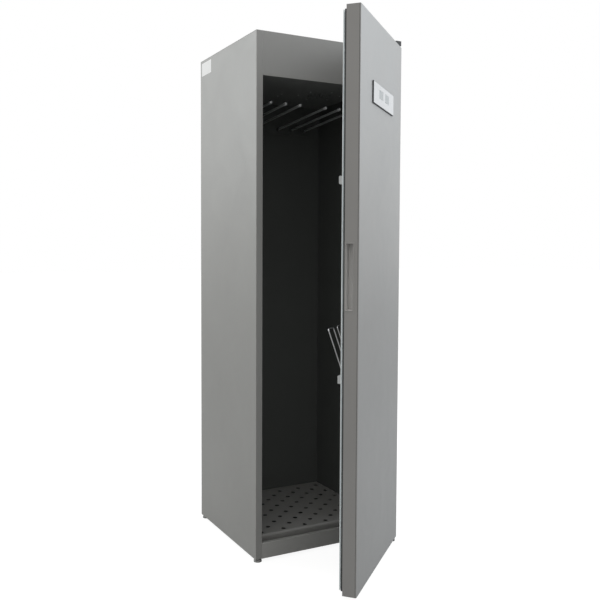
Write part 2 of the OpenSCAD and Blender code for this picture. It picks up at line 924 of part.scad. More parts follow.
// Fan housing: a drum with an outlet on its left
module fan_housing() {
    housing_top = bay_floor + housing_h;
    cabinet_part(zinc) difference() {
        union() {
            translate([fan_x, fan_y, bay_floor]) cylinder(r = housing_r, h = housing_h);
            block([heater_right, duct_y, bay_floor], [fan_x, duct_y + duct_w, housing_top]);
        }
        translate([fan_x, fan_y, bay_floor + duct_t])
            cylinder(r = housing_r - duct_t, h = housing_h - 2 * duct_t);
        block([heater_right - 1, duct_y + duct_t, bay_floor + duct_t],
              [fan_x, duct_y + duct_w - duct_t, housing_top - duct_t]);
        translate([fan_x, fan_y, bay_floor - 1]) cylinder(r = intake_r, h = duct_t + 2);
        translate([fan_x, fan_y, housing_top - duct_t - 1]) cylinder(r = 2 * shaft_r, h = duct_t + 2);
        ceiling_screw_holes(duct_t + 1);
    }
}

// Fan wheel: two rings of blades' ends, blades, hub and shaft
module fan_wheel() {
    blade_middle = wheel_r - blade_l / 2;
    cabinet_part(plastic_dark) translate([fan_x, fan_y, wheel_floor]) {
        difference() {
            cylinder(r = wheel_r, h = duct_t);
            translate([0, 0, -1]) cylinder(r = wheel_r - blade_l, h = duct_t + 2);
        }
        translate([0, 0, wheel_h - duct_t]) cylinder(r = wheel_r, h = duct_t);
        translate([0, 0, wheel_h / 2]) cylinder(r = 3 * shaft_r, h = wheel_h / 2);
        translate([0, 0, wheel_h / 2]) cylinder(r = shaft_r, h = wheel_h / 2 + shaft_l);
        for (i = [0 : blade_count - 1])
            rotate([0, 0, 360 * i / blade_count])
                translate([blade_middle, 0, duct_t / 2])
                rotate([0, 0, blade_pitch])
                block([-blade_l / 2 + 1, -blade_t / 2, 0], [blade_l / 2 - 1, blade_t / 2, wheel_h - duct_t]);
    }
}

// Fan motor with the bearing hole for the fan shaft
module fan_motor() {
    bearing_l = wheel_floor + wheel_h + shaft_l - bay_floor - housing_h + 1;
    cabinet_part(steel) translate([fan_x, fan_y, bay_floor + housing_h])
        difference() {
            union() {
                cylinder(r = motor_r, h = motor_h - motor_cap_h);
                cylinder(r = motor_r - motor_cap_step, h = motor_h);
                cylinder(r = motor_r + motor_flange_w, h = motor_flange_t);
            }
            translate([0, 0, -1]) cylinder(r = shaft_r + shaft_clearance, h = bearing_l + 1);
        }
}

// Puts children under the middle of every heater rod, on the bay's floor
module at_heater_rods() {
    for (i = [0 : heater_rods - 1])
        translate([heater_first_x - i * heater_pitch, duct_y + duct_w / 2, bay_floor])
            children();
}

// Heater duct: open to the fan on its right, and to the ceiling slots below its far end
module heater_duct() {
    cabinet_part(zinc) difference() {
        block([heater_left, duct_y, bay_floor], [heater_right, duct_y + duct_w, bay_floor + housing_h]);
        block([heater_left + duct_t, duct_y + duct_t, bay_floor + duct_t],
              [heater_right + 1, duct_y + duct_w - duct_t, bay_floor + housing_h - duct_t]);
        block([heater_left + duct_t, duct_y + duct_t, bay_floor - 1],
              [vent_left + vent_slots * vent_pitch, duct_y + duct_w - duct_t, bay_floor + housing_h / 2]);
        at_heater_rods()
            for (side = [-1, 1])
                translate([0, side * heater_u, housing_h / 2])
                    cylinder(r = heater_r + duct_clearance, h = housing_h);
        ceiling_screw_holes(duct_t + 1);
    }
}

// Heater: U-shaped rods that hang from the duct's top, joined by bus bars above it
module heater_element() {
    bend_z = heater_foot + heater_u;
    bar_x = heater_first_x - (heater_rods - 1) * heater_pitch - bus_end;
    cabinet_part(steel) {
        at_heater_rods() {
            for (side = [-1, 1])
                translate([0, side * heater_u, bend_z])
                    cylinder(r = heater_r, h = housing_h + heater_tail - bend_z);
            translate([0, 0, bend_z])
                rotate([-90, 0, 90])
                rotate_extrude(angle = 180)
                translate([heater_u, 0])
                circle(r = heater_r, $fn = 32);
        }
        for (side = [-1, 1])
            translate([bar_x, duct_y + duct_w / 2 + side * heater_u - bus_w / 2,
                       bay_floor + housing_h + bus_lift])
                cube([heater_first_x + bus_end - bar_x, bus_w, bus_t]);
    }
}

// Overheat cut-out on top of the heater duct
module overheat_cutout() {
    cabinet_part(plastic_dark)
        translate([heater_left + cutout_inset, duct_y + duct_w / 2, bay_floor + housing_h]) {
            cylinder(r = cutout_r + cutout_flange_w, h = cutout_flange_t);
            cylinder(r = cutout_r, h = cutout_h);
            for (side = [-1, 1])
                translate([0, side * cutout_tab_y, cutout_h])
                    block([-cutout_tab_t / 2, -cutout_tab_w / 2, 0],
                          [cutout_tab_t / 2, cutout_tab_w / 2, cutout_tab_h]);
        }
}

// Power board on four posts, with relays, a terminal block and a capacitor
module power_board() {
    cabinet_part(board_green) translate([power_x, power_y, bay_floor]) {
        for (x = [-1, 1] * (power_w / 2 - post_inset), y = [-1, 1] * (power_d / 2 - post_inset))
            translate([x, y, 0]) cylinder(r = post_r, h = post_h);
        translate([-power_w / 2, -power_d / 2, post_h]) cube([power_w, power_d, board_t]);
        for (i = [0 : relay_count - 1])
            translate(relay_first + [relay_pitch * i, 0, post_h]) cube(relay_size);
        translate(terminal_place + [0, 0, post_h]) cube(terminal_size);
        translate(capacitor_place + [0, 0, post_h]) cylinder(r = capacitor_r, h = capacitor_h);
    }
}

// Door switch behind the header
module door_switch() {
    cabinet_part(plastic_dark) translate([switch_x, sheet_t, opening_top + switch_rise]) {
        block([-switch_w / 2, 0, -switch_h / 2], [switch_w / 2, switch_d, switch_h / 2]);
        block([-plug_w / 2, 0, -plug_h / 2], [plug_w / 2, switch_d + plug_l, plug_h / 2]);
    }
}

// Exhaust duct from the ceiling through the top panel, with collars on both
module exhaust_duct() {
    duct_h = body_top + exhaust_h - ceiling_z;
    cabinet_part(zinc) translate([exhaust_x, exhaust_y, 0])
        difference() {
            union() {
                translate([0, 0, ceiling_z]) cylinder(r = exhaust_r, h = duct_h);
                translate([0, 0, body_top]) cylinder(r = exhaust_r + top_collar_w, h = collar_t);
                translate([0, 0, bay_floor]) cylinder(r = exhaust_r + low_collar_w, h = collar_t);
            }
            translate([0, 0, ceiling_z - 1]) cylinder(r = exhaust_r - duct_t, h = duct_h + 2);
        }
}

// Gland in the top panel for the mains cable, with a nut below the panel
module mains_gland() {
    cabinet_part(plastic_dark) translate([gland_x, gland_y, body_top])
        difference() {
            union() {
                translate([0, 0, -gland_tail]) cylinder(r = gland_r, h = gland_tail + gland_h);
                cylinder(r = gland_nut_r, h = gland_nut_h, $fn = 6);
                translate([0, 0, -sheet_t - gland_nut_h]) cylinder(r = gland_nut_r, h = gland_nut_h, $fn = 6);
            }
            translate([0, 0, -gland_tail - 1]) cylinder(r = cable_hole_r, h = gland_tail + gland_h + 2);
        }
}

// Angle on the top panel that ties the cabinet to the wall
module wall_bracket() {
    cabinet_part(zinc) difference() {
        union() {
            block([-bracket_w / 2, body_d - bracket_d, body_top],
                  [bracket_w / 2, body_d, body_top + bracket_t]);
            block([-bracket_w / 2, body_d - bracket_t, body_top],
                  [bracket_w / 2, body_d, body_top + bracket_h]);
        }
        for (x = [-1, 1] * bracket_pitch / 2)
            translate([x, body_d - bracket_t - 1, bracket_hole_z])
                cylinder_y(bracket_hole_r, bracket_t + 2);
    }
}

// ---- Feet ----

// One levelling foot; its neck reaches up to the sheet or plate that it carries
module foot(x_side, y, seat_z) {
    cabinet_part(plastic_dark) translate([x_side * (half_w - foot_inset), y, 0]) {
        cylinder(r = foot_r, h = foot_pad_t - foot_bevel);
        translate([0, 0, foot_pad_t - foot_bevel])
            cylinder(r1 = foot_r, r2 = foot_r - foot_bevel, h = foot_bevel);
        cylinder(r = foot_neck_r, h = seat_z);
        cylinder(r = stud_r, h = insulation_bottom - stud_gap);
    }
}

module foot_front_left() {
    foot(-1, foot_inset, foot_h);
}

module foot_front_right() {
    foot(1, foot_inset, foot_h - hinge_plate_t);
}

module foot_rear_left() {
    foot(-1, body_d - foot_inset, foot_h);
}

module foot_rear_right() {
    foot(1, body_d - foot_inset, foot_h);
}

// ---- Hinges ----

// A hinge plate, as wide on the body as its screws need and narrow round the pin
module hinge_plate(front, back, z) {
    block([plate_left, cover_t + cover_room, z], [plate_right, back, z + hinge_plate_t]);
    block([nose_left, front, z], [plate_right, back, z + hinge_plate_t]);
}

module top_hinge_plate() {
    pin_low = door_top - pin_grip;
    cabinet_part(steel) difference() {
        union() {
            hinge_plate(pin_y - plate_nose, top_plate_seat, body_top);
            translate([pin_x, pin_y, pin_low])
                cylinder(r = pin_r, h = body_top + hinge_plate_t - pin_low);
        }
        hinge_screw_holes();
    }
}

// The space of the top hinge cover, less a wall all round
module cover_space(wall, low) {
    high = body_top + cover_h - wall;
    block([half_w - cover_w + wall, wall, low], [half_w - wall, cover_seat - wall, high]);
    block([nose_left - cover_t - cover_room + wall, door_front + wall, low],
          [half_w - wall, cover_seat - wall, high]);
}

// Cover over the top hinge plate, flush with the body's side and the door's face
module top_hinge_cover() {
    cabinet_part(plastic_dark) difference() {
        cover_space(0, body_top);
        cover_space(cover_t, body_top - 1);
    }
}

// Bottom hinge plate with its pin, and a block under the pin
module bottom_hinge_plate() {
    plate_z = foot_h - hinge_plate_t;
    nose_front = pin_y - bottom_nose;
    cabinet_part(plastic_dark) difference() {
        union() {
            hinge_plate(nose_front, bottom_plate_seat, plate_z);
            translate([pin_x, pin_y, plate_z]) cylinder(r = pin_r, h = door_bottom + pin_grip - plate_z);
            block([nose_left, nose_front, block_lift], [plate_right, pin_y + block_back, plate_z]);
        }
        at_feet() translate([0, 0, plate_z - 1])
            cylinder(r = stud_r + stud_clearance, h = hinge_plate_t + 2);
        hinge_screw_holes();
    }
}

// A pan-head screw that points down, with the underside of its head at z = 0
module screw(r, l) {
    translate([0, 0, -l]) cylinder(r = r, h = l, $fn = 32);
    cylinder(r = head_width * r, h = head_height * r, $fn = 32);
}

module hinge_screws() {
    cabinet_part(steel)
        for (x = hinge_screw_x) {
            translate([x, top_hinge_screw_y, body_top + hinge_plate_t])
                screw(hinge_screw_r, hinge_screw_l);
            translate([x, bottom_hinge_screw_y, foot_h - hinge_plate_t])
                rotate([180, 0, 0])
                screw(hinge_screw_r, hinge_screw_l);
        }
}

// Screws in the rear panel and in the ceiling
module panel_screws() {
    cabinet_part(steel) {
        at_rear_screws() rotate([-90, 0, 0]) screw(panel_screw_r, panel_screw_l);
        at_ceiling_screws() rotate([180, 0, 0]) screw(panel_screw_r, panel_screw_l);
    }
}

// ---- Door ----

// Plan outline of a door sheet with its two front corners rounded
module door_outline(w, d, r) {
    translate([-w / 2, r]) square([w, d - r]);
    translate([-w / 2 + r, 0]) square([w - 2 * r, d]);
    for (x = [-1, 1] * (w / 2 - r))
        translate([x, r]) circle(r = r);
}

// Puts children at the middle of the door's top and bottom ends, on the pins' line,
// with Z pointing out of the door
module at_bushes() {
    translate([pin_x, pin_y, door_top]) children();
    translate([pin_x, pin_y, door_bottom]) mirror([0, 0, 1]) children();
}

// The space of the handle cup in the door's free edge, grown outwards by an extra length
module handle_space(extra) {
    block([-door_half - extra, handle_y - handle_w / 2, handle_z - handle_l / 2],
          [-door_half + handle_d, handle_y + handle_w / 2, handle_z + handle_l / 2]);
}

// Openings for both keys, with their clearance, between two depths
module key_openings(y_low, y_high) {
    for (side = [-1, 1])
        block([side * key_x - key_w / 2 - key_gap, y_low, key_z - key_h / 2 - key_gap],
              [side * key_x + key_w / 2 + key_gap, y_high, key_z + key_h / 2 + key_gap]);
}

// Outer sheet of the door: its face and four folded edges
module door_skin() {
    door_part(door_grey) difference() {
        translate([0, door_front, door_bottom])
            linear_extrude(door_h)
            door_outline(door_w, door_t, door_corner_r);
        translate([0, door_front + door_sheet_t, door_bottom + door_sheet_t])
            linear_extrude(door_h - 2 * door_sheet_t)
            door_outline(door_w - 2 * door_sheet_t, door_t, door_corner_r - door_sheet_t);
        handle_space(1);
        at_bushes() translate([0, 0, -door_sheet_t - 1]) cylinder(r = bush_r, h = door_sheet_t + 2);
        key_openings(door_front - 1, door_front + door_sheet_t + 1);
    }
}

module door_liner() {
    inner = door_half - door_sheet_t;
    door_part(door_grey)
        block([-inner, door_back - door_sheet_t, door_bottom + door_sheet_t],
              [inner, door_back, door_top - door_sheet_t]);
}

// Foam between the door's sheets, cut out for what is sunk into the door
module door_core() {
    board_space = door_sheet_t + key_pocket_d + board_t + board_room;
    door_part(foam) difference() {
        translate([0, door_front + door_sheet_t, door_bottom + door_sheet_t])
            linear_extrude(door_h - 2 * door_sheet_t)
            door_outline(door_w - 2 * door_sheet_t, door_t - 2 * door_sheet_t, door_corner_r - door_sheet_t);
        handle_space(1);
        at_bushes() translate([0, 0, -bush_l]) cylinder(r = bush_r, h = bush_l + 1);
        block([-board_w / 2, door_front, key_z - board_h / 2],
              [board_w / 2, door_front + board_space, key_z + board_h / 2]);
    }
}

// A rectangular frame that follows the door's edges
module door_frame(inset, w, y_low, y_high) {
    difference() {
        block([-door_half + inset, y_low, door_bottom + inset],
              [door_half - inset, y_high, door_top - inset]);
        block([-door_half + inset + w, y_low - 1, door_bottom + inset + w],
              [door_half - inset - w, y_high + 1, door_top - inset - w]);
    }
}

// The carrier ends flush with the seal's inner edge and shows beside its outer edge
module seal_carrier() {
    door_part(plastic_dark)
        door_frame(seal_inset + seal_w - carrier_w, carrier_w, door_back, door_back + carrier_t);
}

module door_seal() {
    door_part(rubber_grey)
        door_frame(seal_inset, seal_w, door_back + carrier_t, door_back + carrier_t + seal_t);
}

// Handle cup in the door's free edge, with a rim round its mouth
module handle_cup() {
    rim_front = -door_half - handle_proud;
    door_part(plastic_light) difference() {
        union() {
            handle_space(0);
            block([rim_front, handle_y - handle_w / 2 - handle_rim, handle_z - handle_l / 2 - handle_rim],
                  [-door_half, handle_y + handle_w / 2 + handle_rim, handle_z + handle_l / 2 + handle_rim]);
        }
        block([rim_front - 1, handle_y - handle_w / 2 + handle_wall, handle_z - handle_l / 2 + handle_wall],
              [-door_half + handle_d - handle_wall, handle_y + handle_w / 2 - handle_wall,
               handle_z + handle_l / 2 - handle_wall]);
    }
}

// One flanged bush at each end of the door
module hinge_bushes() {
    door_part(plastic_light) at_bushes() difference() {
        union() {
            translate([0, 0, -bush_l]) cylinder(r = bush_r, h = bush_l);
            cylinder(r = bush_flange_r, h = bush_flange_t);
        }
        translate([0, 0, -bush_l - 1]) cylinder(r = pin_r + pin_clearance, h = bush_l + bush_flange_t + 2);
    }
}

// ---- Control panel ----

// Space of the face plate inside the housing's rim
module face_space() {
    block([-panel_w / 2 + face_inset, face_front, panel_z - panel_h / 2 + face_inset],
          [panel_w / 2 - face_inset, face_front + face_t, panel_z + panel_h / 2 - face_inset]);
}

module panel_housing() {
    door_part(plastic_dark) difference() {
        block([-panel_w / 2, face_front + face_lip, panel_z - panel_h / 2],
              [panel_w / 2, door_front, panel_z + panel_h / 2]);
        face_space();
        key_openings(face_front, door_front + 1);
    }
}

module panel_face() {
    door_part(plastic_white) difference() {
        face_space();
        key_openings(face_front - 1, door_front);
    }
}

// Board on four posts behind the door's face, with a switch behind each key
module control_board() {
    board_front = door_front + door_sheet_t + key_pocket_d;
    switch_front = face_front + key_t + key_travel + key_stop;
    door_part(board_green) {
        block([-board_w / 2, board_front, key_z - board_h / 2],
              [board_w / 2, board_front + board_t, key_z + board_h / 2]);
        for (x = [-1, 1] * (board_w / 2 - 4), z = [-1, 1] * (board_h / 2 - 3))
            translate([x, door_front + door_sheet_t, key_z + z]) cylinder_y(2, key_pocket_d);
        for (x = [-1, 1] * key_x)
            translate([x, switch_front, key_z]) cylinder_y(3, board_front - switch_front);
    }
}

// A push key, flush with the panel's face
module key(side) {
    door_part(window_grey)
        block([side * key_x - key_w / 2, face_front, key_z - key_h / 2],
              [side * key_x + key_w / 2, face_front + key_t, key_z + key_h / 2]);
}

module programme_key() {
    key(-1);
}

module start_key() {
    key(1);
}

// ---- Door racks ----

// Holder on the door's inner face: a strip and two end blocks with the pivot's bearings
module rack_holder(z) {
    end = holder_l / 2;
    half_h = holder_h / 2;
    block_end = door_back + block_d;
    round_y = block_end - block_round;
    round_z = half_h - block_round;
    door_part(plastic_light) difference() {
        union() {
            block([-end, door_back, z - half_h], [end, door_back + strip_t, z + half_h]);
            both_sides() {
                block([end - block_w, door_back, z - half_h], [end, round_y, z + half_h]);
                block([end - block_w, door_back, z - round_z], [end, block_end, z + round_z]);
                for (corner = [-1, 1] * round_z)
                    translate([end - block_w / 2, round_y, z + corner]) cylinder_x(block_round, block_w);
            }
        }
        translate([0, pivot_y, z]) cylinder_x(pivot_r + pivot_clearance, pivot_l + 2);
    }
}

// One upright loop: two legs, two bends and a top bar
module wire_loop() {
    leg_x = loop_w / 2;
    both_sides() {
        translate([leg_x, 0, 0]) cylinder(r = wire_r, h = loop_l - bend_r, $fn = 32);
        translate([leg_x - bend_r, 0, loop_l - bend_r])
            rotate([90, 0, 0])
            rotate_extrude(angle = 90, $fn = 32)
            translate([bend_r, 0])
            circle(r = wire_r, $fn = 32);
    }
    translate([0, 0, loop_l]) cylinder_x(wire_r, loop_w - 2 * bend_r);
}

// Wire rack: loops on a pivot rod, tilted out from the door
module rack_wire(z, tilt) {
    door_part(steel)
        translate([0, pivot_y, z])
        rotate([-tilt, 0, 0]) {
            cylinder_x(pivot_r, pivot_l);
            for (i = [0 : loop_count - 1])
                translate([(i - (loop_count - 1) / 2) * loop_pitch, 0, 0]) wire_loop();
        }
}

module upper_rack_holder() {
    rack_holder(upper_rack_z);
}

module upper_rack_wire() {
    rack_wire(upper_rack_z, upper_rack_open);
}

module lower_rack_holder() {
    rack_holder(lower_rack_z);
}

module lower_rack_wire() {
    rack_wire(lower_rack_z, lower_rack_open);
}

// ---- Parts ----

left_side_panel();
right_side_panel();
top_panel();
rear_panel();
base_pan();
header_panel();
sill_panel();
liner_left();
liner_right();
liner_back();
ceiling_panel();
inner_floor();
insulation_left();
insulation_right();
insulation_back();
rod_rail();
for (i = [0 : rod_count - 1])
    hanging_rod(i);
rod_caps();
shoe_tray();
fan_housing();
fan_wheel();
fan_motor();
heater_duct();
heater_element();
overheat_cutout();
power_board();
door_switch();
exhaust_duct();
mains_gland();
wall_bracket();
foot_front_left();
foot_front_right();
foot_rear_left();
foot_rear_right();
top_hinge_plate();
top_hinge_cover();
bottom_hinge_plate();
hinge_screws();
panel_screws();
door_skin();
door_liner();
door_core();
seal_carrier();
door_seal();
handle_cup();
hinge_bushes();
panel_housing();
panel_face();
control_board();
programme_key();
start_key();
upper_rack_holder();
upper_rack_wire();
lower_rack_holder();
lower_rack_wire();
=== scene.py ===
# %% [markdown]
# # A drying cabinet
# A drying cabinet is a tall box of folded sheet steel. Warm air blows through it, wet clothes
# hang on rods, and shoes stand on a tray of pierced sheet. The solids of every piece are already
# made, so this notebook loads them, gives their edges the small rounding that real folds and
# mouldings have, adds the fine pieces, and paints everything with materials made of nodes.
# All lengths are in metres. X runs to the right, Y to the back and Z up.

# %% Load the solids
import json
import math

import bmesh
import bpy
from mathutils import Matrix, Vector


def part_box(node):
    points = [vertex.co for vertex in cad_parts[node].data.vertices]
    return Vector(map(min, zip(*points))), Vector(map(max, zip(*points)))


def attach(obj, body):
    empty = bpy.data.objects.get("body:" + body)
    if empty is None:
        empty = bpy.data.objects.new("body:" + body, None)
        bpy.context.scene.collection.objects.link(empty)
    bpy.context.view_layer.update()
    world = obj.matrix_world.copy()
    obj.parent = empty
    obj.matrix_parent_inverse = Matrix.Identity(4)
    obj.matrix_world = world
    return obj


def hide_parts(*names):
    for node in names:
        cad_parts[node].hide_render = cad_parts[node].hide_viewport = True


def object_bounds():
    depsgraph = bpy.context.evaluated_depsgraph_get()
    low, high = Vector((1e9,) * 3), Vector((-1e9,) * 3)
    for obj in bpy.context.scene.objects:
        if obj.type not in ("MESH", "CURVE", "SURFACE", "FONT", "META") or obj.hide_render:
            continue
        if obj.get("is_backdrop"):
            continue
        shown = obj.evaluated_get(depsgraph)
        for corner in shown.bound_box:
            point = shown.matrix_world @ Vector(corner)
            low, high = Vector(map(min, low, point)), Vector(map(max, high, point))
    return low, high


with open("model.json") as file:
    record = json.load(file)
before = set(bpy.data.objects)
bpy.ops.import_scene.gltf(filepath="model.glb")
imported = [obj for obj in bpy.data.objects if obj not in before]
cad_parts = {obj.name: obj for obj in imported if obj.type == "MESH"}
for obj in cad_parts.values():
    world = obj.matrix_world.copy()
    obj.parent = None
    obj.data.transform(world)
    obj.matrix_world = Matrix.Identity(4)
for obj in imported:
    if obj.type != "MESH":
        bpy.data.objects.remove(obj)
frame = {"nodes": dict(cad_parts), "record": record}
solid_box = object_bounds()
solids = frame["nodes"]
size = solid_box[1] - solid_box[0]
print("loaded", len(solids), "solids,", " x ".join(f"{1000 * s:.0f}" for s in size), "mm")

# %% [markdown]
# Every size below is read from the solids, so a piece always lands where its neighbour is.
# The door is modelled shut, because a shut door is square to the axes. One matrix then swings it
# to the angle at which it stands open, and another takes it back.

# %% Places that the pieces share
left_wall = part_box("left_side_panel")
front_y = left_wall[0].y
behaviour = frame["record"]["behaviour"]
hinge = next(joint for joint in behaviour["joints"] if joint["name"] == "door_hinge")
open_angle = -hinge["range_deg"][0]
pin = Vector(hinge["pos_m"])
opening = Matrix.Rotation(math.radians(open_angle), 4, "Z")
swing = Matrix.Translation(pin) @ opening @ Matrix.Translation(-pin)
shut = swing.inverted()
print(f"the door stands open at {open_angle:.1f} degrees")


def extent(points):
    """Lowest and highest corner of some points."""
    return [Vector([pick(p[i] for p in points) for i in range(3)]) for pick in (min, max)]


def shut_box(node):
    """Lowest and highest corner of a door node, measured with the door shut."""
    return extent([shut @ v.co for v in solids[node].data.vertices])


door_low, door_high = shut_box("door_skin")
print(f"the door is {1000 * (door_high.x - door_low.x):.0f} mm wide")

# %% [markdown]
# ## The camera
# The camera stands a little above the middle of the cabinet's height, to the left of its front,
# and looks slightly down. Its place was found by solving the picture's perspective for a box of
# the cabinet's size. The lens is shifted a little, because the middle of the perspective isn't
# quite the middle of the picture.

# %% Camera
eye = Vector((-1.37544, -2.39447, 1.08983))
yaw, pitch, roll = (math.radians(a) for a in (27.8454, 2.8637, 0.2376))
focal_px, centre_px = 762.084, (292.416, 285.861)
frame_px = 600
forward = Vector((math.sin(yaw) * math.cos(pitch), math.cos(yaw) * math.cos(pitch),
                  -math.sin(pitch)))
side = Vector((math.cos(yaw), -math.sin(yaw), 0))
above = side.cross(forward)
tilted_side = side * math.cos(roll) + above * math.sin(roll)
tilted_above = above * math.cos(roll) - side * math.sin(roll)

lens = bpy.data.cameras.new("camera")
lens.sensor_width = 36
lens.lens = focal_px / frame_px * lens.sensor_width
lens.shift_x = (frame_px / 2 - centre_px[0]) / frame_px
lens.shift_y = (centre_px[1] - frame_px / 2) / frame_px
lens.clip_end = 50
camera = bpy.data.objects.new("camera", lens)
camera.matrix_world = Matrix((tilted_side, tilted_above, -forward)).transposed().to_4x4()
camera.location = eye
bpy.context.collection.objects.link(camera)
bpy.context.scene.camera = camera
print(f"lens of {lens.lens:.1f} mm, {eye.length:.2f} m from the cabinet's foot")

# %% [markdown]
# ## The studio
# A product like this is photographed between two large soft boxes, one at each side and a little
# higher than the cabinet, with a weaker one above. The two stand so far to the side that the side
# wall and the open door's face are bright, and the front, which faces neither, is darker. The
# white floor takes most of its brightness from itself, so that it stays white to its far end and
# shows only a faint shadow under the cabinet. All rays but the camera's meet a grey floor and a
# dimmer sky, so little light comes back up, as the lower parts of the cabinet are the darker ones.

# %% Floor and sky
floor_reach = 30
floor_tone, floor_roughness = 0.3, 0.9
paper_tone, glow_share, glow_strength = 0.85, 0.8, 1.15
sky_colour, sky_strength = (1, 0.985, 0.95, 1), 0.87

studio = bpy.context.scene
studio.view_settings.view_transform = "Standard"
studio.view_settings.look = "None"


def grey(tone):
    """A plain grey as a colour with its alpha."""
    return (tone, tone, tone, 1)


def camera_mix(tree, seen_shader, other_shader, output):
    """Joins a shader for what the camera sees and one for all other rays."""
    path = tree.nodes.new("ShaderNodeLightPath")
    either = tree.nodes.new("ShaderNodeMixShader")
    tree.links.new(path.outputs["Is Camera Ray"], either.inputs["Fac"])
    tree.links.new(other_shader, either.inputs[1])
    tree.links.new(seen_shader, either.inputs[2])
    tree.links.new(either.outputs["Shader"], output)


floor_mesh = bpy.data.meshes.new("floor")
plan = bmesh.new()
bmesh.ops.create_grid(plan, x_segments=1, y_segments=1, size=floor_reach)
plan.to_mesh(floor_mesh)
plan.free()
floor = bpy.data.objects.new("floor", floor_mesh)
bpy.context.collection.objects.link(floor)
floor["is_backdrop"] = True

floor_white = bpy.data.materials.new("floor_white")
floor_white.use_nodes = True
tree = floor_white.node_tree
unseen_floor = tree.nodes["Principled BSDF"]
unseen_floor.inputs["Base Color"].default_value = grey(floor_tone)
unseen_floor.inputs["Roughness"].default_value = floor_roughness
white_paper = tree.nodes.new("ShaderNodeBsdfDiffuse")
white_paper.inputs["Color"].default_value = grey(paper_tone)
glow = tree.nodes.new("ShaderNodeEmission")
glow.inputs["Strength"].default_value = glow_strength
paper_and_glow = tree.nodes.new("ShaderNodeMixShader")
paper_and_glow.inputs["Fac"].default_value = glow_share
tree.links.new(white_paper.outputs["BSDF"], paper_and_glow.inputs[1])
tree.links.new(glow.outputs["Emission"], paper_and_glow.inputs[2])
camera_mix(tree, paper_and_glow.outputs["Shader"], unseen_floor.outputs["BSDF"],
           tree.nodes["Material Output"].inputs["Surface"])
floor_mesh.materials.append(floor_white)

sky = bpy.data.worlds.new("sky")
sky.use_nodes = True
tree = sky.node_tree
unseen_sky = tree.nodes["Background"]
unseen_sky.inputs["Color"].default_value = sky_colour
unseen_sky.inputs["Strength"].default_value = sky_strength
white_seen = tree.nodes.new("ShaderNodeBackground")
white_seen.inputs["Color"].default_value = grey(1)
camera_mix(tree, white_seen.outputs["Background"], unseen_sky.outputs["Background"],
           tree.nodes["World Output"].inputs["Surface"])
studio.world = sky
print("floor and sky made")

# %% Soft boxes
box_width, box_height = 1.8, 2.0


def soft_box(name, place, aim_height, power, colour):
    """A rectangular soft light at a place, turned towards a height above the origin."""
    light = bpy.data.lights.new(name, "AREA")
    light.shape = "RECTANGLE"
    light.size, light.size_y = box_width, box_height
    light.energy = power
    light.color = colour
    holder = bpy.data.objects.new(name, light)
    holder.location = place
    holder.rotation_mode = "QUATERNION"
    aim = Vector((0, 0, aim_height)) - Vector(place)
    holder.rotation_quaternion = aim.to_track_quat("-Z", "Y")
    bpy.context.collection.objects.link(holder)
    return holder


soft_boxes = [
    soft_box("left_soft_box", (-2.6, 2.4, 2.4), 1.2, 48, (0.94, 0.98, 1)),
    soft_box("right_soft_box", (3.2, -0.9, 2.6), 1.4, 79, (0.86, 0.93, 1)),
    soft_box("top_soft_box", (0, -0.8, 4.2), 1.0, 25, (1, 1, 1)),
]
print("soft boxes:", ", ".join(b.name for b in soft_boxes))

# %% [markdown]
# ## Finishes
# Powder paint, galvanised sheet and moulded plastic each have a skin of their own: paint has a
# fine orange peel, zinc has crystals, plastic a spark-eroded grain. Each skin is a node group
# with named inputs, built once and placed in every material that needs it. A group gives out
# only colours, values and normals, and the Principled shader stays in the material.

# %% Helpers for node groups
COLOUR, NUMBER, DIRECTION = "NodeSocketColor", "NodeSocketFloat", "NodeSocketVector"
SKIN_OUTPUTS = (("Color", COLOUR), ("Roughness", NUMBER), ("Normal", DIRECTION))


def skin_group(name, inputs):
    """A new shader node group with its input sockets and the outputs that every skin has."""
    group = bpy.data.node_groups.new(name, "ShaderNodeTree")
    for socket_name, kind, value in inputs:
        made = group.interface.new_socket(socket_name, in_out="INPUT", socket_type=kind)
        made.default_value = value
    for socket_name, kind in SKIN_OUTPUTS:
        group.interface.new_socket(socket_name, in_out="OUTPUT", socket_type=kind)
    return group, group.nodes.new("NodeGroupInput"), group.nodes.new("NodeGroupOutput")


def put(tree, kind, settings=None, **values):
    """One node, with its properties and its unlinked inputs set."""
    made = tree.nodes.new(kind)
    for key, value in (settings or {}).items():
        setattr(made, key, value)
    for key, value in values.items():
        made.inputs[key.replace("_", " ")].default_value = value
    return made


def join(tree, *pairs):
    """Links an output to an input, for each pair of sockets."""
    for start, end in pairs:
        tree.links.new(start, end)


print("every skin gives out", ", ".join(name for name, kind in SKIN_OUTPUTS))

# %% [markdown]
# Powder paint melts into a skin with a faint orange peel. Seen close, its tone drifts a little, and
# hands and cloths leave it unevenly glossy. The rims, marked on each mesh by an attribute, are
# painted a touch lighter, a painted highlight where the rounded folds catch the light.


# %% Powder paint
NOISE_RANGE = {"From_Min": 0.3, "From_Max": 0.7}


def colour_drift(tree, source, colour, amount, scale):
    """Multiplies a colour by slow noise and returns the result's socket."""
    cloud = put(tree, "ShaderNodeTexNoise", Scale=scale, Detail=4.0, Roughness=0.55)
    spread = put(tree, "ShaderNodeMapRange", To_Min=-1.0, To_Max=1.0, **NOISE_RANGE)
    strength = put(tree, "ShaderNodeMath", {"operation": "MULTIPLY_ADD"})
    strength.inputs[2].default_value = 1.0
    tone = put(tree, "ShaderNodeHueSaturation")
    join(tree, (source, cloud.inputs["Vector"]), (cloud.outputs["Fac"], spread.inputs["Value"]),
         (spread.outputs["Result"], strength.inputs[0]), (amount, strength.inputs[1]),
         (strength.outputs["Value"], tone.inputs["Value"]), (colour, tone.inputs["Color"]))
    return tone.outputs["Color"]


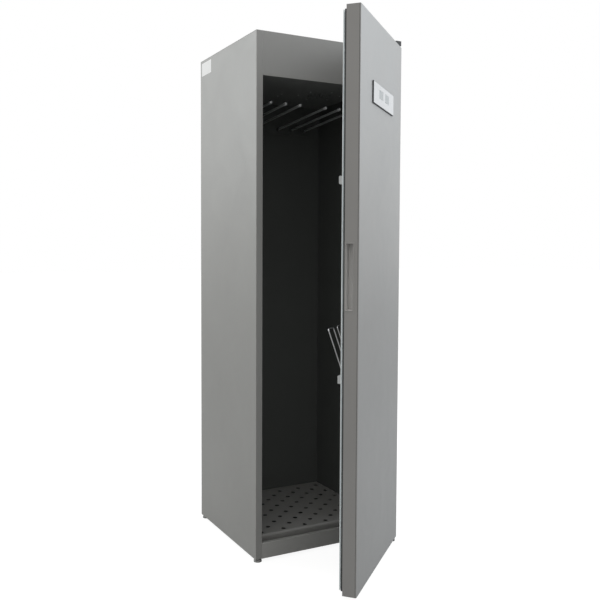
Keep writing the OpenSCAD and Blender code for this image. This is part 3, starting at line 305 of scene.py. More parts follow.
def uneven_gloss(tree, source, roughness, spread, scale):
    """Adds smudges to a roughness value and returns the result's socket."""
    smear = put(tree, "ShaderNodeTexNoise", Scale=scale, Detail=6.0, Roughness=0.6, Distortion=0.8)
    around = put(tree, "ShaderNodeMapRange", To_Min=-spread, To_Max=spread, **NOISE_RANGE)
    total = put(tree, "ShaderNodeMath", {"operation": "ADD", "use_clamp": True})
    join(tree, (source, smear.inputs["Vector"]), (smear.outputs["Fac"], around.inputs["Value"]),
         (around.outputs["Result"], total.inputs[0]), (roughness, total.inputs[1]))
    return total.outputs["Value"]


def painted_rim_highlight(tree, colour, rim_highlight_colour, amount):
    """Paints a highlight: blends a colour towards a lighter one along the rounded edges."""
    rim = put(tree, "ShaderNodeAttribute", {"attribute_name": "rim"})
    share = put(tree, "ShaderNodeMath", {"operation": "MULTIPLY", "use_clamp": True})
    blend = put(tree, "ShaderNodeMix", {"data_type": "RGBA"})
    join(tree, (rim.outputs["Fac"], share.inputs[0]), (amount, share.inputs[1]),
         (share.outputs["Value"], blend.inputs["Factor"]), (colour, blend.inputs["A"]),
         (rim_highlight_colour, blend.inputs["B"]))
    return blend.outputs["Result"]


def fine_grain(tree, source, scale, depth, distance):
    """A normal socket with fine round grain."""
    grain = put(tree, "ShaderNodeTexNoise", Detail=2.0, Roughness=0.5)
    bump = put(tree, "ShaderNodeBump", Distance=distance)
    join(tree, (source, grain.inputs["Vector"]), (scale, grain.inputs["Scale"]),
         (grain.outputs["Fac"], bump.inputs["Height"]), (depth, bump.inputs["Strength"]))
    return bump.outputs["Normal"]


def paint_group():
    """The skin of powder paint and of moulded plastic."""
    group, given, made = skin_group(
        "grained_skin",
        [("Color", COLOUR, (0.5, 0.5, 0.5, 1)), ("Rim Highlight Color", COLOUR, (0.6, 0.6, 0.6, 1)),
         ("Rim Highlight", NUMBER, 0.4), ("Drift", NUMBER, 0.04), ("Roughness", NUMBER, 0.4),
         ("Grain Scale", NUMBER, 700.0), ("Grain Depth", NUMBER, 0.2)])
    given = given.outputs
    place = put(group, "ShaderNodeTexCoord").outputs["Object"]
    toned = colour_drift(group, place, given["Color"], given["Drift"], scale=2.2)
    rim_highlighted = painted_rim_highlight(group, toned, given["Rim Highlight Color"], given["Rim Highlight"])
    gloss = uneven_gloss(group, place, given["Roughness"], spread=0.05, scale=7.0)
    grain = fine_grain(group, place, given["Grain Scale"], given["Grain Depth"], distance=0.0004)
    join(group, (rim_highlighted, made.inputs["Color"]), (gloss, made.inputs["Roughness"]),
         (grain, made.inputs["Normal"]))
    return group


grained_skin = paint_group()
print("grained skin has", len(grained_skin.nodes), "nodes")

# %% [markdown]
# Hot-dip zinc freezes in flat crystals a centimetre across, each with its own grey. A Voronoi
# texture gives the crystals, and a fine noise the dull film on them.


# %% Galvanised sheet
def zinc_group():
    """The crystals of galvanised sheet."""
    group, given, made = skin_group(
        "zinc_skin",
        [("Color", COLOUR, (0.6, 0.62, 0.64, 1)), ("Crystal Scale", NUMBER, 90.0),
         ("Contrast", NUMBER, 0.12)])
    given, made = given.outputs, made.inputs
    place = put(group, "ShaderNodeTexCoord").outputs["Object"]
    crystal = put(group, "ShaderNodeTexVoronoi", Randomness=1.0)
    tone = put(group, "ShaderNodeSeparateColor")
    centred = put(group, "ShaderNodeMath", {"operation": "SUBTRACT"})
    centred.inputs[1].default_value = 0.5
    strength = put(group, "ShaderNodeMath", {"operation": "MULTIPLY_ADD"})
    strength.inputs[2].default_value = 1.0
    shade = put(group, "ShaderNodeHueSaturation")
    gloss = put(group, "ShaderNodeMapRange", To_Min=0.32, To_Max=0.5)
    film = put(group, "ShaderNodeTexNoise", Scale=400.0, Detail=3.0)
    bump = put(group, "ShaderNodeBump", Strength=0.15, Distance=0.0003)
    join(group, (place, crystal.inputs["Vector"]),
         (given["Crystal Scale"], crystal.inputs["Scale"]),
         (crystal.outputs["Color"], tone.inputs["Color"]),
         (tone.outputs["Red"], centred.inputs[0]),
         (centred.outputs["Value"], strength.inputs[0]), (given["Contrast"], strength.inputs[1]),
         (strength.outputs["Value"], shade.inputs["Value"]),
         (given["Color"], shade.inputs["Color"]), (tone.outputs["Green"], gloss.inputs["Value"]),
         (place, film.inputs["Vector"]), (film.outputs["Fac"], bump.inputs["Height"]),
         (shade.outputs["Color"], made["Color"]), (gloss.outputs["Result"], made["Roughness"]),
         (bump.outputs["Normal"], made["Normal"]))
    return group


zinc_skin = zinc_group()
print("zinc skin has", len(zinc_skin.nodes), "nodes")

# %% [markdown]
# Rods, pins and screws are drawn or rolled, which leaves hair lines along them. The group
# stretches a noise along one axis, by a scale for each direction.


# %% Drawn metal
def drawn_group():
    """Hair lines of drawn or brushed metal."""
    group, given, made = skin_group(
        "drawn_skin",
        [("Color", COLOUR, (0.7, 0.7, 0.7, 1)), ("Roughness", NUMBER, 0.3),
         ("Stretch", DIRECTION, (900, 20, 900))])
    given, made = given.outputs, made.inputs
    place = put(group, "ShaderNodeTexCoord").outputs["Object"]
    squeeze = put(group, "ShaderNodeVectorMath", {"operation": "MULTIPLY"})
    hair = put(group, "ShaderNodeTexNoise", Scale=1.0, Detail=3.0)
    tone = put(group, "ShaderNodeMapRange", To_Min=0.9, To_Max=1.08)
    shade = put(group, "ShaderNodeHueSaturation")
    spread = put(group, "ShaderNodeMapRange", To_Min=-0.07, To_Max=0.07)
    gloss = put(group, "ShaderNodeMath", {"operation": "ADD", "use_clamp": True})
    bump = put(group, "ShaderNodeBump", Strength=0.12, Distance=0.0002)
    join(group, (place, squeeze.inputs[0]), (given["Stretch"], squeeze.inputs[1]),
         (squeeze.outputs["Vector"], hair.inputs["Vector"]),
         (hair.outputs["Fac"], tone.inputs["Value"]),
         (tone.outputs["Result"], shade.inputs["Value"]), (given["Color"], shade.inputs["Color"]),
         (hair.outputs["Fac"], spread.inputs["Value"]),
         (spread.outputs["Result"], gloss.inputs[0]), (given["Roughness"], gloss.inputs[1]),
         (hair.outputs["Fac"], bump.inputs["Height"]), (shade.outputs["Color"], made["Color"]),
         (gloss.outputs["Value"], made["Roughness"]), (bump.outputs["Normal"], made["Normal"]))
    return group


drawn_skin = drawn_group()
print("drawn skin has", len(drawn_skin.nodes), "nodes")

# %% [markdown]
# Each finish is one material: a Principled shader fed by a skin. Numbers that are the same all
# over, such as the metal share or the coat, are set on the shader itself. A row of the table of
# painted and moulded finishes gives the colour, how strong the painted highlight on the rims is,
# the roughness, the scale and the depth of the grain, and how far the tone drifts.


# %% Materials
def finish(name, skin, skin_values, **shader_values):
    """A material whose colour, roughness and normal come from a skin group."""
    paint = bpy.data.materials.new(name)
    paint.use_nodes = True
    tree = paint.node_tree
    shader = tree.nodes["Principled BSDF"]
    layer = put(tree, "ShaderNodeGroup", {"node_tree": skin})
    for key, value in skin_values.items():
        layer.inputs[key].default_value = value
    join(tree, (layer.outputs["Color"], shader.inputs["Base Color"]),
         (layer.outputs["Roughness"], shader.inputs["Roughness"]),
         (layer.outputs["Normal"], shader.inputs["Normal"]))
    for key, value in shader_values.items():
        shader.inputs[key.replace("_", " ")].default_value = value
    return paint


def grained(name, colour, rim, roughness, grain=(700.0, 0.2), drift=0.04, **shader_values):
    """Powder paint or moulded plastic; the rims get a painted highlight, the colour lightened."""
    highlight_gain, highlight_lift = 1.25, 0.02
    # the rim colour is the colour lightened, a painted highlight for the rounded rims
    light = tuple(min(1.0, highlight_gain * c + highlight_lift) for c in colour) + (1,)
    values = {"Color": (*colour, 1), "Rim Highlight Color": light, "Rim Highlight": rim, "Drift": drift,
              "Roughness": roughness, "Grain Scale": grain[0], "Grain Depth": grain[1]}
    return finish(name, grained_skin, values, **shader_values)


finishes = {
    "side_paint": grained("side_paint", (0.30, 0.302, 0.297), 0.4, 0.45, Metallic=0.1),
    # a lighter copy of the body paint, painted light that lifts the open door's shade on the sill
    "frame_paint": grained("frame_paint", (0.33, 0.332, 0.327), 0.4, 0.45, Metallic=0.1),
    "door_paint": grained("door_paint", (0.30, 0.302, 0.303), 0.4, 0.42, Metallic=0.1),
    # a darker copy of the door paint, painted shade on the door's edge faces
    "edge_paint": grained("edge_paint", (0.268, 0.265, 0.262), 0.4, 0.42, Metallic=0.1),
    # a darker copy of the body paint, painted shade for the header and the stiles' fronts
    "front_painted_shade": grained("front_painted_shade", (0.258, 0.26, 0.257), 0.8, 0.45, Metallic=0.1),
    "lining_paint": grained("lining_paint", (0.098, 0.105, 0.102), 0.3, 0.5, (500.0, 0.3)),
    # a lighter copy of the lining, painted light for the light thrown up onto the ceiling
    "ceiling_painted_light": grained("ceiling_painted_light", (0.25, 0.26, 0.255), 0.3, 0.5, (500.0, 0.3)),
    # near black, painted shade under the tray and inside its holes
    "floor_painted_shade": grained("floor_painted_shade", (0.03, 0.031, 0.031), 0.3, 0.5, (500.0, 0.3)),
    "tray_paint": grained("tray_paint", (0.262, 0.262, 0.257), 0.12, 0.5, (500.0, 0.3)),
    "dark_plastic": grained("dark_plastic", (0.045, 0.048, 0.052), 0.3, 0.5, (1200.0, 0.25)),
    "light_plastic": grained("light_plastic", (0.55, 0.57, 0.58), 0.3, 0.4, (1400.0, 0.15)),
    "foot_nylon": grained("foot_nylon", (0.27, 0.275, 0.275), 0.3, 0.5, (1200.0, 0.2)),
    # a lighter plastic for the grip's hollow, painted light that lifts the shade in the recess
    "grip_plastic": grained("grip_plastic", (0.62, 0.615, 0.61), 0.3, 0.45, (1200.0, 0.2)),
    "plate_white": grained("plate_white", (0.715, 0.72, 0.725), 0.2, 0.4, (1500.0, 0.05), 0.02),
    "panel_white": grained("panel_white", (0.57, 0.59, 0.62), 0.2, 0.2, (1500.0, 0.05), 0.02,
                           Coat_Weight=0.4),
    "key_grey": grained("key_grey", (0.33, 0.36, 0.38), 0.3, 0.3, (1500.0, 0.08), 0.02,
                        Coat_Weight=0.2),
    "seal_rubber": grained("seal_rubber", (0.78, 0.84, 0.86), 0.2, 0.5, (900.0, 0.2), 0.05),
    "circuit_board": grained("circuit_board", (0.03, 0.16, 0.07), 0.2, 0.35, (300.0, 0.2), 0.12),
    "insulation": grained("insulation", (0.72, 0.68, 0.52), 0.0, 0.95, (260.0, 0.9), 0.15),
    "zinc_sheet": finish("zinc_sheet", zinc_skin, {}, Metallic=0.9),
    "bare_steel": finish("bare_steel", drawn_skin, {"Color": (0.62, 0.63, 0.64, 1)}, Metallic=1.0),
    "rod_steel": finish("rod_steel", drawn_skin,
                        {"Color": (0.48, 0.50, 0.50, 1), "Roughness": 0.4}, Metallic=0.35),
}
print(len(finishes), "finishes:", ", ".join(finishes))

# %% [markdown]
# ## Rounded folds
# A press brake never leaves a sharp corner: each fold of a sheet has a radius of about a
# millimetre, and a cut rim has its burr taken off. The solids have sharp edges, so each one that
# shows is copied, its loose triangles are joined, and its outer edges are bevelled, wide on the
# folds and narrow on the rims. Bevelling only the edges that stand out keeps the inner corners
# crisp, as they are on folded steel. The new strips are marked, and the paint reads the mark.
# Flat triangles are first made whole faces, which bevel more evenly. Where a narrow rim runs all
# round a sheet, as on the door and the base pan, that would make a face with a hole in it, which
# a bevel tears, so those two keep their triangles. A face counts as lying along an axis as long
# as its normal leans less than half of its length that way.

# %% Rounding
sharp_angle, flat_angle = math.radians(40), math.radians(0.5)
weld = 0.00001
shortest_fold, narrowest_fold = 0.004, 0.0025
rim_radius = 0.0002
fold_steps, rim_steps = 3, 2
leaning = 0.5
body_of = {node: body for body, nodes in behaviour["bodies"].items() for node in nodes}
slot_of = {part["node"]: part["material_slot"] for part in frame["record"]["subparts"]}


def joined_copy(node, whole_faces=True):
    """A bmesh of a solid, with its loose triangles joined."""
    work = bmesh.new()
    work.from_mesh(solids[node].data)
    bmesh.ops.remove_doubles(work, verts=work.verts, dist=weld)
    if whole_faces:
        bmesh.ops.dissolve_limit(
            work, angle_limit=flat_angle, verts=work.verts, edges=work.edges)
    return work


def outer_edges(work, wide):
    """Edges that stand out; wide picks those between two broad faces."""
    chosen = []
    for edge in work.edges:
        if len(edge.link_faces) != 2 or edge.calc_face_angle() < sharp_angle or not edge.is_convex:
            continue
        breadth = min(2 * face.calc_area() / face.calc_perimeter() for face in edge.link_faces)
        if not wide or (edge.calc_length() > shortest_fold and breadth > narrowest_fold):
            chosen.append(edge)
    return chosen


def round_off(work, fold_radius, rims=rim_radius):
    """Bevels the folds, then the rims, and marks the new strips."""
    mark = work.faces.layers.float.new("rim")
    for radius, steps, wide in ((fold_radius, fold_steps, True), (rims, rim_steps, False)):
        if radius:
            made = bmesh.ops.bevel(
                work, geom=outer_edges(work, wide), offset=radius, offset_type="OFFSET",
                segments=steps, profile=0.5, affect="EDGES", clamp_overlap=False, material=-1)
            for face in made["faces"]:
                face[mark] = 1.0


print("edges under", round(math.degrees(sharp_angle)), "degrees stay as they are")

# %% [markdown]
# A finished mesh is shaded smooth, its remaining corners are marked sharp, and a Weighted Normal
# modifier keeps the broad faces flat to the eye. The piece then rides on its body, stands for
# its solid, and takes the solid's finish. Some faces of a piece can have another finish.


# %% From mesh to piece
def new_piece(name, work, body, slot, stands_for=()):
    """Turns a bmesh into a finished piece."""
    for face in work.faces:
        face.smooth = True
    for edge in work.edges:
        edge.smooth = len(edge.link_faces) == 2 and edge.calc_face_angle() < sharp_angle
    mesh = bpy.data.meshes.new(name)
    work.to_mesh(mesh)
    work.free()
    mesh.materials.append(finishes[slot])
    piece = bpy.data.objects.new(name, mesh)
    bpy.context.collection.objects.link(piece)
    even = piece.modifiers.new("even_shading", "WEIGHTED_NORMAL")
    even.keep_sharp = True
    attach(piece, body)
    if stands_for:
        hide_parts(*stands_for)
    return piece


def dress(node, name, fold_radius, rims=rim_radius, whole_faces=True):
    """A piece with rounded edges in place of a solid."""
    work = joined_copy(node, whole_faces)
    round_off(work, fold_radius, rims)
    return new_piece(name, work, body_of[node], slot_of[node], [node])


def tint(piece, paint, faces):
    """Gives some faces of a piece a finish of their own."""
    piece.data.materials.append(finishes[paint])
    for face in faces:
        face.material_index = len(piece.data.materials) - 1


# %% [markdown]
# ## The outer sheets
# The two sides, the top, the header, the sill, the rear panel and the base pan make the outer
# box. The sides turn in at the front and form the stiles, so their front fold is the longest line
# of the cabinet.

# %% Sides, top, front, rear and base
sheet_fold = 0.0012
outer_sheets = {
    node: dress(node, f"{node}_sheet", sheet_fold, whole_faces=node != "base_pan")
    for node in ("left_side_panel", "right_side_panel", "top_panel", "header_panel", "sill_panel",
                 "rear_panel", "base_pan")}
print("folded sheets:", ", ".join(p.name for p in outer_sheets.values()))

# %% [markdown]
# The stiles and the header face neither soft box, so the header and the stiles' faces that look
# forward get a darker copy of the body paint, as painted shade.

# %% Stiles and header
facing_front, at_front = -0.9, front_y + 0.0005
# painted shade: the header takes the darker copy of the paint
outer_sheets["header_panel"].data.materials[0] = finishes["front_painted_shade"]
# painted shade: the forward faces of each stile take the darker copy of the paint
for side_sheet in (outer_sheets["left_side_panel"], outer_sheets["right_side_panel"]):
    stile = [face for face in side_sheet.data.polygons
             if face.normal.y < facing_front and face.center.y < at_front]
    tint(side_sheet, "front_painted_shade", stile)
    print(side_sheet.name, "has a stile of", len(stile), "faces")

# %% [markdown]
# ## The lining
# The ceiling and the floor of the drying space are flat sheets with turned edges. The ceiling has
# round return holes and the warm-air outlet, whose rims are deburred. It is painted lighter than
# the walls, as painted light for the light thrown up from the floor and the tray, and the floor
# under the shoe tray is painted darker, as painted shade. The rail that carries the rods keeps the
# finish of its solid.

# %% Ceiling, inner floor and rail
lining_fold, lining_rim = 0.0008, 0.00015
lining = {node: dress(node, f"{node}_sheet", lining_fold, lining_rim)
          for node in ("ceiling_panel", "inner_floor", "rod_rail")}
# painted light: the ceiling is lighter than the walls
lining["ceiling_panel"].data.materials[0] = finishes["ceiling_painted_light"]
# painted shade: the floor under the tray is near black
lining["inner_floor"].data.materials[0] = finishes["floor_painted_shade"]
print("lining:", ", ".join(p.name for p in lining.values()))

# %% [markdown]
# ## The shoe tray
# The tray is one pierced sheet with a rounded nose. Each hole's rim is deburred, and the hole's
# wall is painted dark, as painted shade inside the hole. The walls are the upright faces inside the
# tray's border.

# %% Tray
tray = dress("shoe_tray", "pierced_tray", fold_radius=0.001, rims=0.00025)
tray_low, tray_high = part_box("shoe_tray")
border_x, border_y = 0.02, 0.03
shaded_hole_walls = [face for face in tray.data.polygons if abs(face.normal.z) < leaning and
              tray_low.x + border_x < face.center.x < tray_high.x - border_x and
              tray_low.y + border_y < face.center.y < tray_high.y - border_y]
# painted shade: the hole walls take the near-black floor paint
tint(tray, "floor_painted_shade", shaded_hole_walls)
print("tray with", len(tray.data.polygons), "faces, of them", len(shaded_hole_walls), "in the holes")

# %% [markdown]
# ## The door
# The door is a folded skin and a flat inner sheet round a core of foam. A narrow joint runs round
# its edges, just behind the face, where the face meets the edge profile. Two cuts parallel to the
# face mark the joint's strip, the strip is sunk in, and its floor is painted dark, as painted shade
# for the shadow in the gap. The faces of the edge profile take a darker copy of the door paint, as
# painted shade.

# %% Door skin
joint_start, joint_width, joint_depth, joint_taper = 0.0031, 0.0012, 0.0005, 0.00005
cut_tolerance = 0.000001
skin_work = joined_copy("door_skin", whole_faces=False)
round_off(skin_work, sheet_fold)
bmesh.ops.transform(skin_work, matrix=shut, verts=skin_work.verts)
joint_front = door_low.y + joint_start
joint_back = joint_front + joint_width
for cut in (joint_front, joint_back):
    everything = skin_work.verts[:] + skin_work.edges[:] + skin_work.faces[:]
    bmesh.ops.bisect_plane(skin_work, geom=everything, dist=cut_tolerance,
                           plane_co=(0, cut, 0), plane_no=(0, 1, 0))
middle = (door_low + door_high) / 2
band, strip = [], []
for face in skin_work.faces:
    spot = face.calc_center_median()
    outward = (face.normal.x * (spot.x - middle.x) > 0 or
               face.normal.z * (spot.z - middle.z) > 0)
    if outward and abs(face.normal.y) < leaning:
        band.append(face)
        if joint_front < spot.y < joint_back:
            strip.append(face)
shaded_joint, shaded_edge = 1, 2
# the edge faces take the darker copy of the door paint, painted shade
for face in band:
    face.material_index = shaded_edge
bmesh.ops.inset_region(skin_work, faces=strip, thickness=joint_taper, depth=-joint_depth,
                       use_even_offset=True)
# the joint's floor gets a dark finish, painted shade for the shadow in the gap
for face in strip:
    face.material_index = shaded_joint
bmesh.ops.transform(skin_work, matrix=swing, verts=skin_work.verts)
door_sheet = new_piece("door_outer_sheet", skin_work, "door", slot_of["door_skin"], ["door_skin"])
# index 1 is dark plastic, the joint's painted shade; index 2 the darker edge paint, also painted
# shade
for paint in ("dark_plastic", "edge_paint"):
    door_sheet.data.materials.append(finishes[paint])
print("joint of", len(strip), "faces round the door")

# %% [markdown]
# The inner sheet is flat, and the free edge has a moulded grip, let into the fold. The grip's
# flange lies on the edge and has the edge's colour, with the same painted shade. Its hollow is a
# lighter plastic, painted light that lifts the shade in the recess.

# %% Inner sheet and grip
flange_thickness = 0.0006
inner_sheet = dress("door_liner", "door_inner_sheet", fold_radius=0.0)
grip = dress("handle_cup", "handle_grip", fold_radius=0.0012, rims=0.0003)
flange_x = shut_box("handle_cup")[0].x + flange_thickness
flange = [face for face in grip.data.polygons if (shut @ face.center).x < flange_x]
# the flange takes the edge's painted shade
tint(grip, "edge_paint", flange)
print("door:", inner_sheet.name, "and", grip.name, "with", len(flange), "faces on the flange")

# %% [markdown]
# ## The control panel
# A white moulded face sits on a dark housing. Real mouldings of this size have corners of about
# half a millimetre, and the two keys stand in close-fitting windows.

# %% Panel and keys
panel = [dress(node, name, fold_radius, rims) for node, name, fold_radius, rims in (
    ("panel_housing", "panel_frame", 0.0008, 0.0003),
    ("panel_face", "panel_cover", 0.0005, 0.0002),
    ("programme_key", "programme_button", 0.0005, 0.0002),
    ("start_key", "start_button", 0.0005, 0.0002))]
print("panel:", ", ".join(p.name for p in panel))

# %% [markdown]
# ## Hinges, racks and other mouldings
# The hinge's cap and plates, the rack holders, the strip that carries the seal, the bracket, the
# spigot and the gland are small, so most of their edges are rounded a little less. Each row gives
# the radius of the folds and that of the rims.

# %% Small parts
small_parts = [dress(node, f"{node}_rounded", fold_radius, rims) for node, fold_radius, rims in (
    ("top_hinge_cover", 0.0015, 0.0003),
    ("top_hinge_plate", 0.0004, 0.0002),
    ("bottom_hinge_plate", 0.0008, 0.0003),
    ("upper_rack_holder", 0.0008, 0.0003),
    ("lower_rack_holder", 0.0008, 0.0003),
    ("seal_carrier", 0.0005, 0.0002),
    ("wall_bracket", 0.0006, 0.0002),
    ("exhaust_duct", 0.0004, 0.0002),
    ("mains_gland", 0.0008, 0.0003))]
print("small parts:", ", ".join(p.name for p in small_parts))

# %% [markdown]
# The four feet are turned nylon on a threaded stem, in the grey of the body.

# %% Feet
feet = [dress(node, f"{node}_rounded", fold_radius=0.001, rims=0.0003) for node in
        ("foot_front_left", "foot_front_right", "foot_rear_left", "foot_rear_right")]
for foot in feet:
    foot.data.materials[0] = finishes["foot_nylon"]
print("feet:", ", ".join(p.name for p in feet))

# %% [markdown]
# ## The door seal
# The seal is a soft moulding with three parts: a foot that is pushed into the carrier, a pinched
# waist that lets it give, and a broad bead that holds a magnetic strip and meets the frame. Its
# four lengths are welded at mitred corners. The half profile is drawn once and mirrored. Each of
# its points has a distance inwards in metres and a share of the seal's depth. Spun in four steps
# round the ring's middle, it makes a square ring whose corners are mitred by themselves, and the
# corners are then pulled apart to the door's size.

# %% Seal
seal_low, seal_high = shut_box("door_seal")
seal_width = 0.014
seal_depth = seal_high.y - seal_low.y
half_profile = [(0.0018, 0.0), (0.0010, 0.09), (0.0016, 0.22), (0.0024, 0.33), (0.0006, 0.44),
                (0.0, 0.54), (0.0, 0.88), (0.0007, 1.0)]
other_half = [(seal_width - inward, share) for inward, share in reversed(half_profile)]


def mitred_ring(profile, low, high, depth):
    """A ring between two corners, spun from a profile of (distance inwards, share of depth)."""
    reach = 0.1
    middle = (low + high) / 2
    ring = bmesh.new()
    points = [ring.verts.new((reach - inward, low.y + share * depth, reach - inward))
              for inward, share in profile]
    sides = [ring.edges.new((points[i - 1], points[i])) for i in range(len(points))]
    bmesh.ops.spin(ring, geom=points + sides, cent=(0, 0, 0), axis=(0, 1, 0), angle=math.tau,
                   steps=4, use_merge=True)
    for vert in ring.verts:
        vert.co.x += math.copysign((high.x - low.x) / 2 - reach, vert.co.x) + middle.x
        vert.co.z += math.copysign((high.z - low.z) / 2 - reach, vert.co.z) + middle.z
    bmesh.ops.remove_doubles(ring, verts=ring.verts, dist=weld)
    bmesh.ops.recalc_face_normals(ring, faces=ring.faces)
    return ring


seal_ring = mitred_ring(half_profile + other_half, seal_low, seal_high, seal_depth)
bmesh.ops.transform(seal_ring, matrix=swing, verts=seal_ring.verts)
seal = new_piece("magnetic_seal", seal_ring, "door", "seal_rubber", ["door_seal"])
print(f"seal {1000 * seal_depth:.1f} mm deep, {len(seal.data.polygons)} faces")

# %% [markdown]
# ## Screws
# The panels and the hinges are held by pan-head screws with a cross recess. Each solid screw is a
# plain stepped pin, so its place, its direction and its size are read from the solid, and a screw
# with a real head is put there. The screw is drawn with a shaft of radius 1 and scaled later, so
# all its sizes are in shaft radii. Its recess starts as a grid of nine squares without its
# corners, which leaves a cross. It is pushed in, the flat round the cross is filled, and the dome,
# the neck and the shaft are pulled out of the circle's edge ring by ring.


# %% One screw
head_radius, head_height = 1.8, 1.1
flat_share, round_sides = 0.6, 16
arm, arm_end, recess = 0.16, 0.72, 0.6
near = 0.01


def ring_of(work, verts):
    """Edges whose two ends are both in a set of vertices."""
    verts = set(verts)
    return [edge for edge in work.edges if edge.verts[0] in verts and edge.verts[1] in verts]


def verts_of(geometry):
    """The vertices among what a bmesh operator has made."""
    return [g for g in geometry if isinstance(g, bmesh.types.BMVert)]


def sunk_cross(screw):
    """Draws the cross recess, pushed in from the top of the head."""
    between = 0.5
    cross = bmesh.ops.create_grid(screw, x_segments=3, y_segments=3, size=1)["verts"]
    for vert in cross:
        for axis in (0, 1):
            inner = abs(vert.co[axis]) < between
            vert.co[axis] = math.copysign(arm if inner else arm_end, vert.co[axis])
        vert.co.z = head_height
    corners = [f for f in screw.faces if min(abs(c) for c in f.calc_center_median().xy) > arm]
    bmesh.ops.delete(screw, geom=corners, context="FACES")
    loose = [v for v in screw.verts if not v.link_faces]
    bmesh.ops.delete(screw, geom=loose, context="VERTS")
    sunk = bmesh.ops.extrude_face_region(screw, geom=list(screw.faces))["geom"]
    bmesh.ops.translate(screw, vec=(0, 0, -recess), verts=verts_of(sunk))
    lid = [f for f in screw.faces if f.calc_center_median().z > head_height - near]
    bmesh.ops.delete(screw, geom=lid, context="FACES_ONLY")


def unit_screw(length):
    """A pan-head screw along -Z, its head's underside at z = 0, for a shaft of radius 1."""
    screw = bmesh.new()
    sunk_cross(screw)
    rim = bmesh.ops.create_circle(screw, segments=round_sides, radius=flat_share * head_radius,
                                  matrix=Matrix.Translation((0, 0, head_height)))["verts"]
    circle = ring_of(screw, rim)
    mouth = [edge for edge in screw.edges if edge.is_boundary and edge not in circle]
    bmesh.ops.triangle_fill(screw, use_beauty=True, edges=mouth + circle)
    dome = [(0.88, 0.82), (1.0, 0.4), (1.0, 0.0)]
    shaft = [(1 / head_radius, 0.0), (1 / head_radius, -length / head_height)]
    for radius, height in dome + shaft:
        verts = verts_of(bmesh.ops.extrude_edge_only(screw, edges=circle)["geom"])
        growth = radius * head_radius / max(v.co.xy.length for v in verts)
        bmesh.ops.scale(screw, vec=(growth, growth, 1), verts=verts)
        for vert in verts:
            vert.co.z = height * head_height
        circle = ring_of(screw, verts)
    bmesh.ops.contextual_create(screw, geom=circle)
    bmesh.ops.recalc_face_normals(screw, faces=screw.faces)
    return screw


sample = unit_screw(length=4.5)
print("a screw has", len(sample.faces), "faces")
sample.free()

# %% [markdown]
# The solid screws are loose parts of one mesh. A part's longest side is its axis, and its head is
# at the end whose points lie further from that axis. The parts are put in the order of their
# places, so that each screw is turned the same in every run.


# %% Where the screws are
def loose_parts(work):
    """Lists of the vertices that hang together."""
    waiting, parts = set(work.verts), []
    while waiting:
        front = [waiting.pop()]
        part = list(front)
        while front:
            linked = {edge.other_vert(vert) for vert in front for edge in vert.link_edges} & waiting
            waiting -= linked
            front = list(linked)
            part += front
        parts.append([vert.co.copy() for vert in part])
    return parts


def screw_place(points):
    """Matrix and length of a screw: its head's underside, its direction and its shaft's radius."""
    low, high = extent(points)
    axis = max(range(3), key=lambda i: high[i] - low[i])
    middle = (low + high) / 2
    reach, digits = {}, 5
    for p in points:
        across = p - middle
        across[axis] = 0
        level = round(p[axis], digits)
        reach[level] = max(reach.get(level, 0), across.length)
    ends = sorted(reach)
    head_up = reach[ends[-1]] > reach[ends[0]]
    shaft_radius = reach[ends[0]] if head_up else reach[ends[-1]]
    seat = ends[-2] if head_up else ends[1]
    middle[axis] = seat
    out = Vector((0, 0, 0))
    out[axis] = 1 if head_up else -1
    length = abs(seat - (ends[0] if head_up else ends[-1]))
    place = Matrix.Translation(middle) @ out.to_track_quat("Z", "Y").to_matrix().to_4x4()
    return place, shaft_radius, length


def detailed_screws(node, name):
    """New screws in the places of a group of solid ones, each turned further than the last."""
    turn_step = 2.4
    group, pattern = bmesh.new(), bpy.data.meshes.new("screw_pattern")
    raw = joined_copy(node)
    parts = sorted(loose_parts(raw), key=lambda part: tuple(round(c, 3) for c in extent(part)[0]))
    raw.free()
    for count, points in enumerate(parts):
        place, shaft_radius, length = screw_place(points)
        one = unit_screw(length / shaft_radius)
        one.to_mesh(pattern)
        one.free()
        before = len(group.verts)
        group.from_mesh(pattern)
        group.verts.ensure_lookup_table()
        turn = Matrix.Rotation(turn_step * count, 4, "Z") @ Matrix.Scale(shaft_radius, 4)
        bmesh.ops.transform(group, matrix=place @ turn, verts=group.verts[before:])
    bpy.data.meshes.remove(pattern)
    print(f"{name}: {len(parts)} screws")
    return new_piece(name, group, body_of[node], slot_of[node], [node])


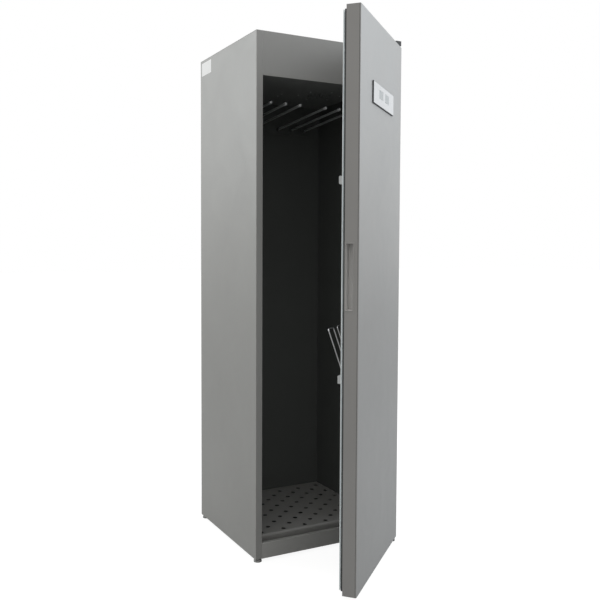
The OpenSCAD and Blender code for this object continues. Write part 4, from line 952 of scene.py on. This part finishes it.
detailed_screws("panel_screws", "cross_head_screws")
detailed_screws("hinge_screws", "hinge_cross_head_screws")

# %% [markdown]
# ## A blank plate
# High on the left side, near the back edge, sits a small self-adhesive plate. It is bare here. Its
# corners are rounded and it stands a tenth of a millimetre proud.

# %% Blank plate
stands_proud, lies_in = 0.0001, 0.0003
plate_front, plate_back = 0.352, 0.448
foot_below_top, head_below_top = 0.059, 0.010
corner_radius, corner_steps = 0.003, 4
plate_low = Vector((left_wall[0].x - stands_proud, plate_front, left_wall[1].z - foot_below_top))
plate_high = Vector((left_wall[0].x + lies_in, plate_back, left_wall[1].z - head_below_top))


def plain_block(low, high):
    """A block between two corners, as a bmesh to be shaped further."""
    block = bmesh.new()
    bmesh.ops.create_cube(block, size=1)
    bmesh.ops.scale(block, vec=high - low, verts=block.verts)
    bmesh.ops.translate(block, vec=(low + high) / 2, verts=block.verts)
    return block


blank = plain_block(plate_low, plate_high)
corner_edges = [e for e in blank.edges if abs(e.verts[0].co.x - e.verts[1].co.x) > weld]
bmesh.ops.bevel(blank, geom=corner_edges, offset=corner_radius, offset_type="OFFSET",
                segments=corner_steps, profile=0.5, affect="EDGES", clamp_overlap=True,
                material=-1)
blank_plate = new_piece("blank_plate", blank, "cabinet", "panel_white")
blank_plate.data.materials[0] = finishes["plate_white"]
print("blank plate placed")

# %% [markdown]
# ## Paint the rest
# Every solid takes the finish that the record names for it. Those that no new piece stands for
# are seen as they are.

# %% Finishes for the solids
for name, solid in solids.items():
    paint = finishes[slot_of[name]]
    if solid.material_slots:
        for place in solid.material_slots:
            place.material = paint
    else:
        solid.data.materials.append(paint)
print("painted", len(solids), "solids")

# %% [markdown]
# ## Measure
# The blank plate and one bevelled corner of the rear panel stand up to a tenth of a millimetre
# outside the box of the solids, so how far the dressed cabinet stands outside its solids is
# measured and printed.

# %% Size and finish
dressed_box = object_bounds()
growth = max(max(solid_box[0][i] - dressed_box[0][i], dressed_box[1][i] - solid_box[1][i])
             for i in range(3))
print(f"the dressed cabinet stands {1000 * growth:.1f} mm outside its solids")
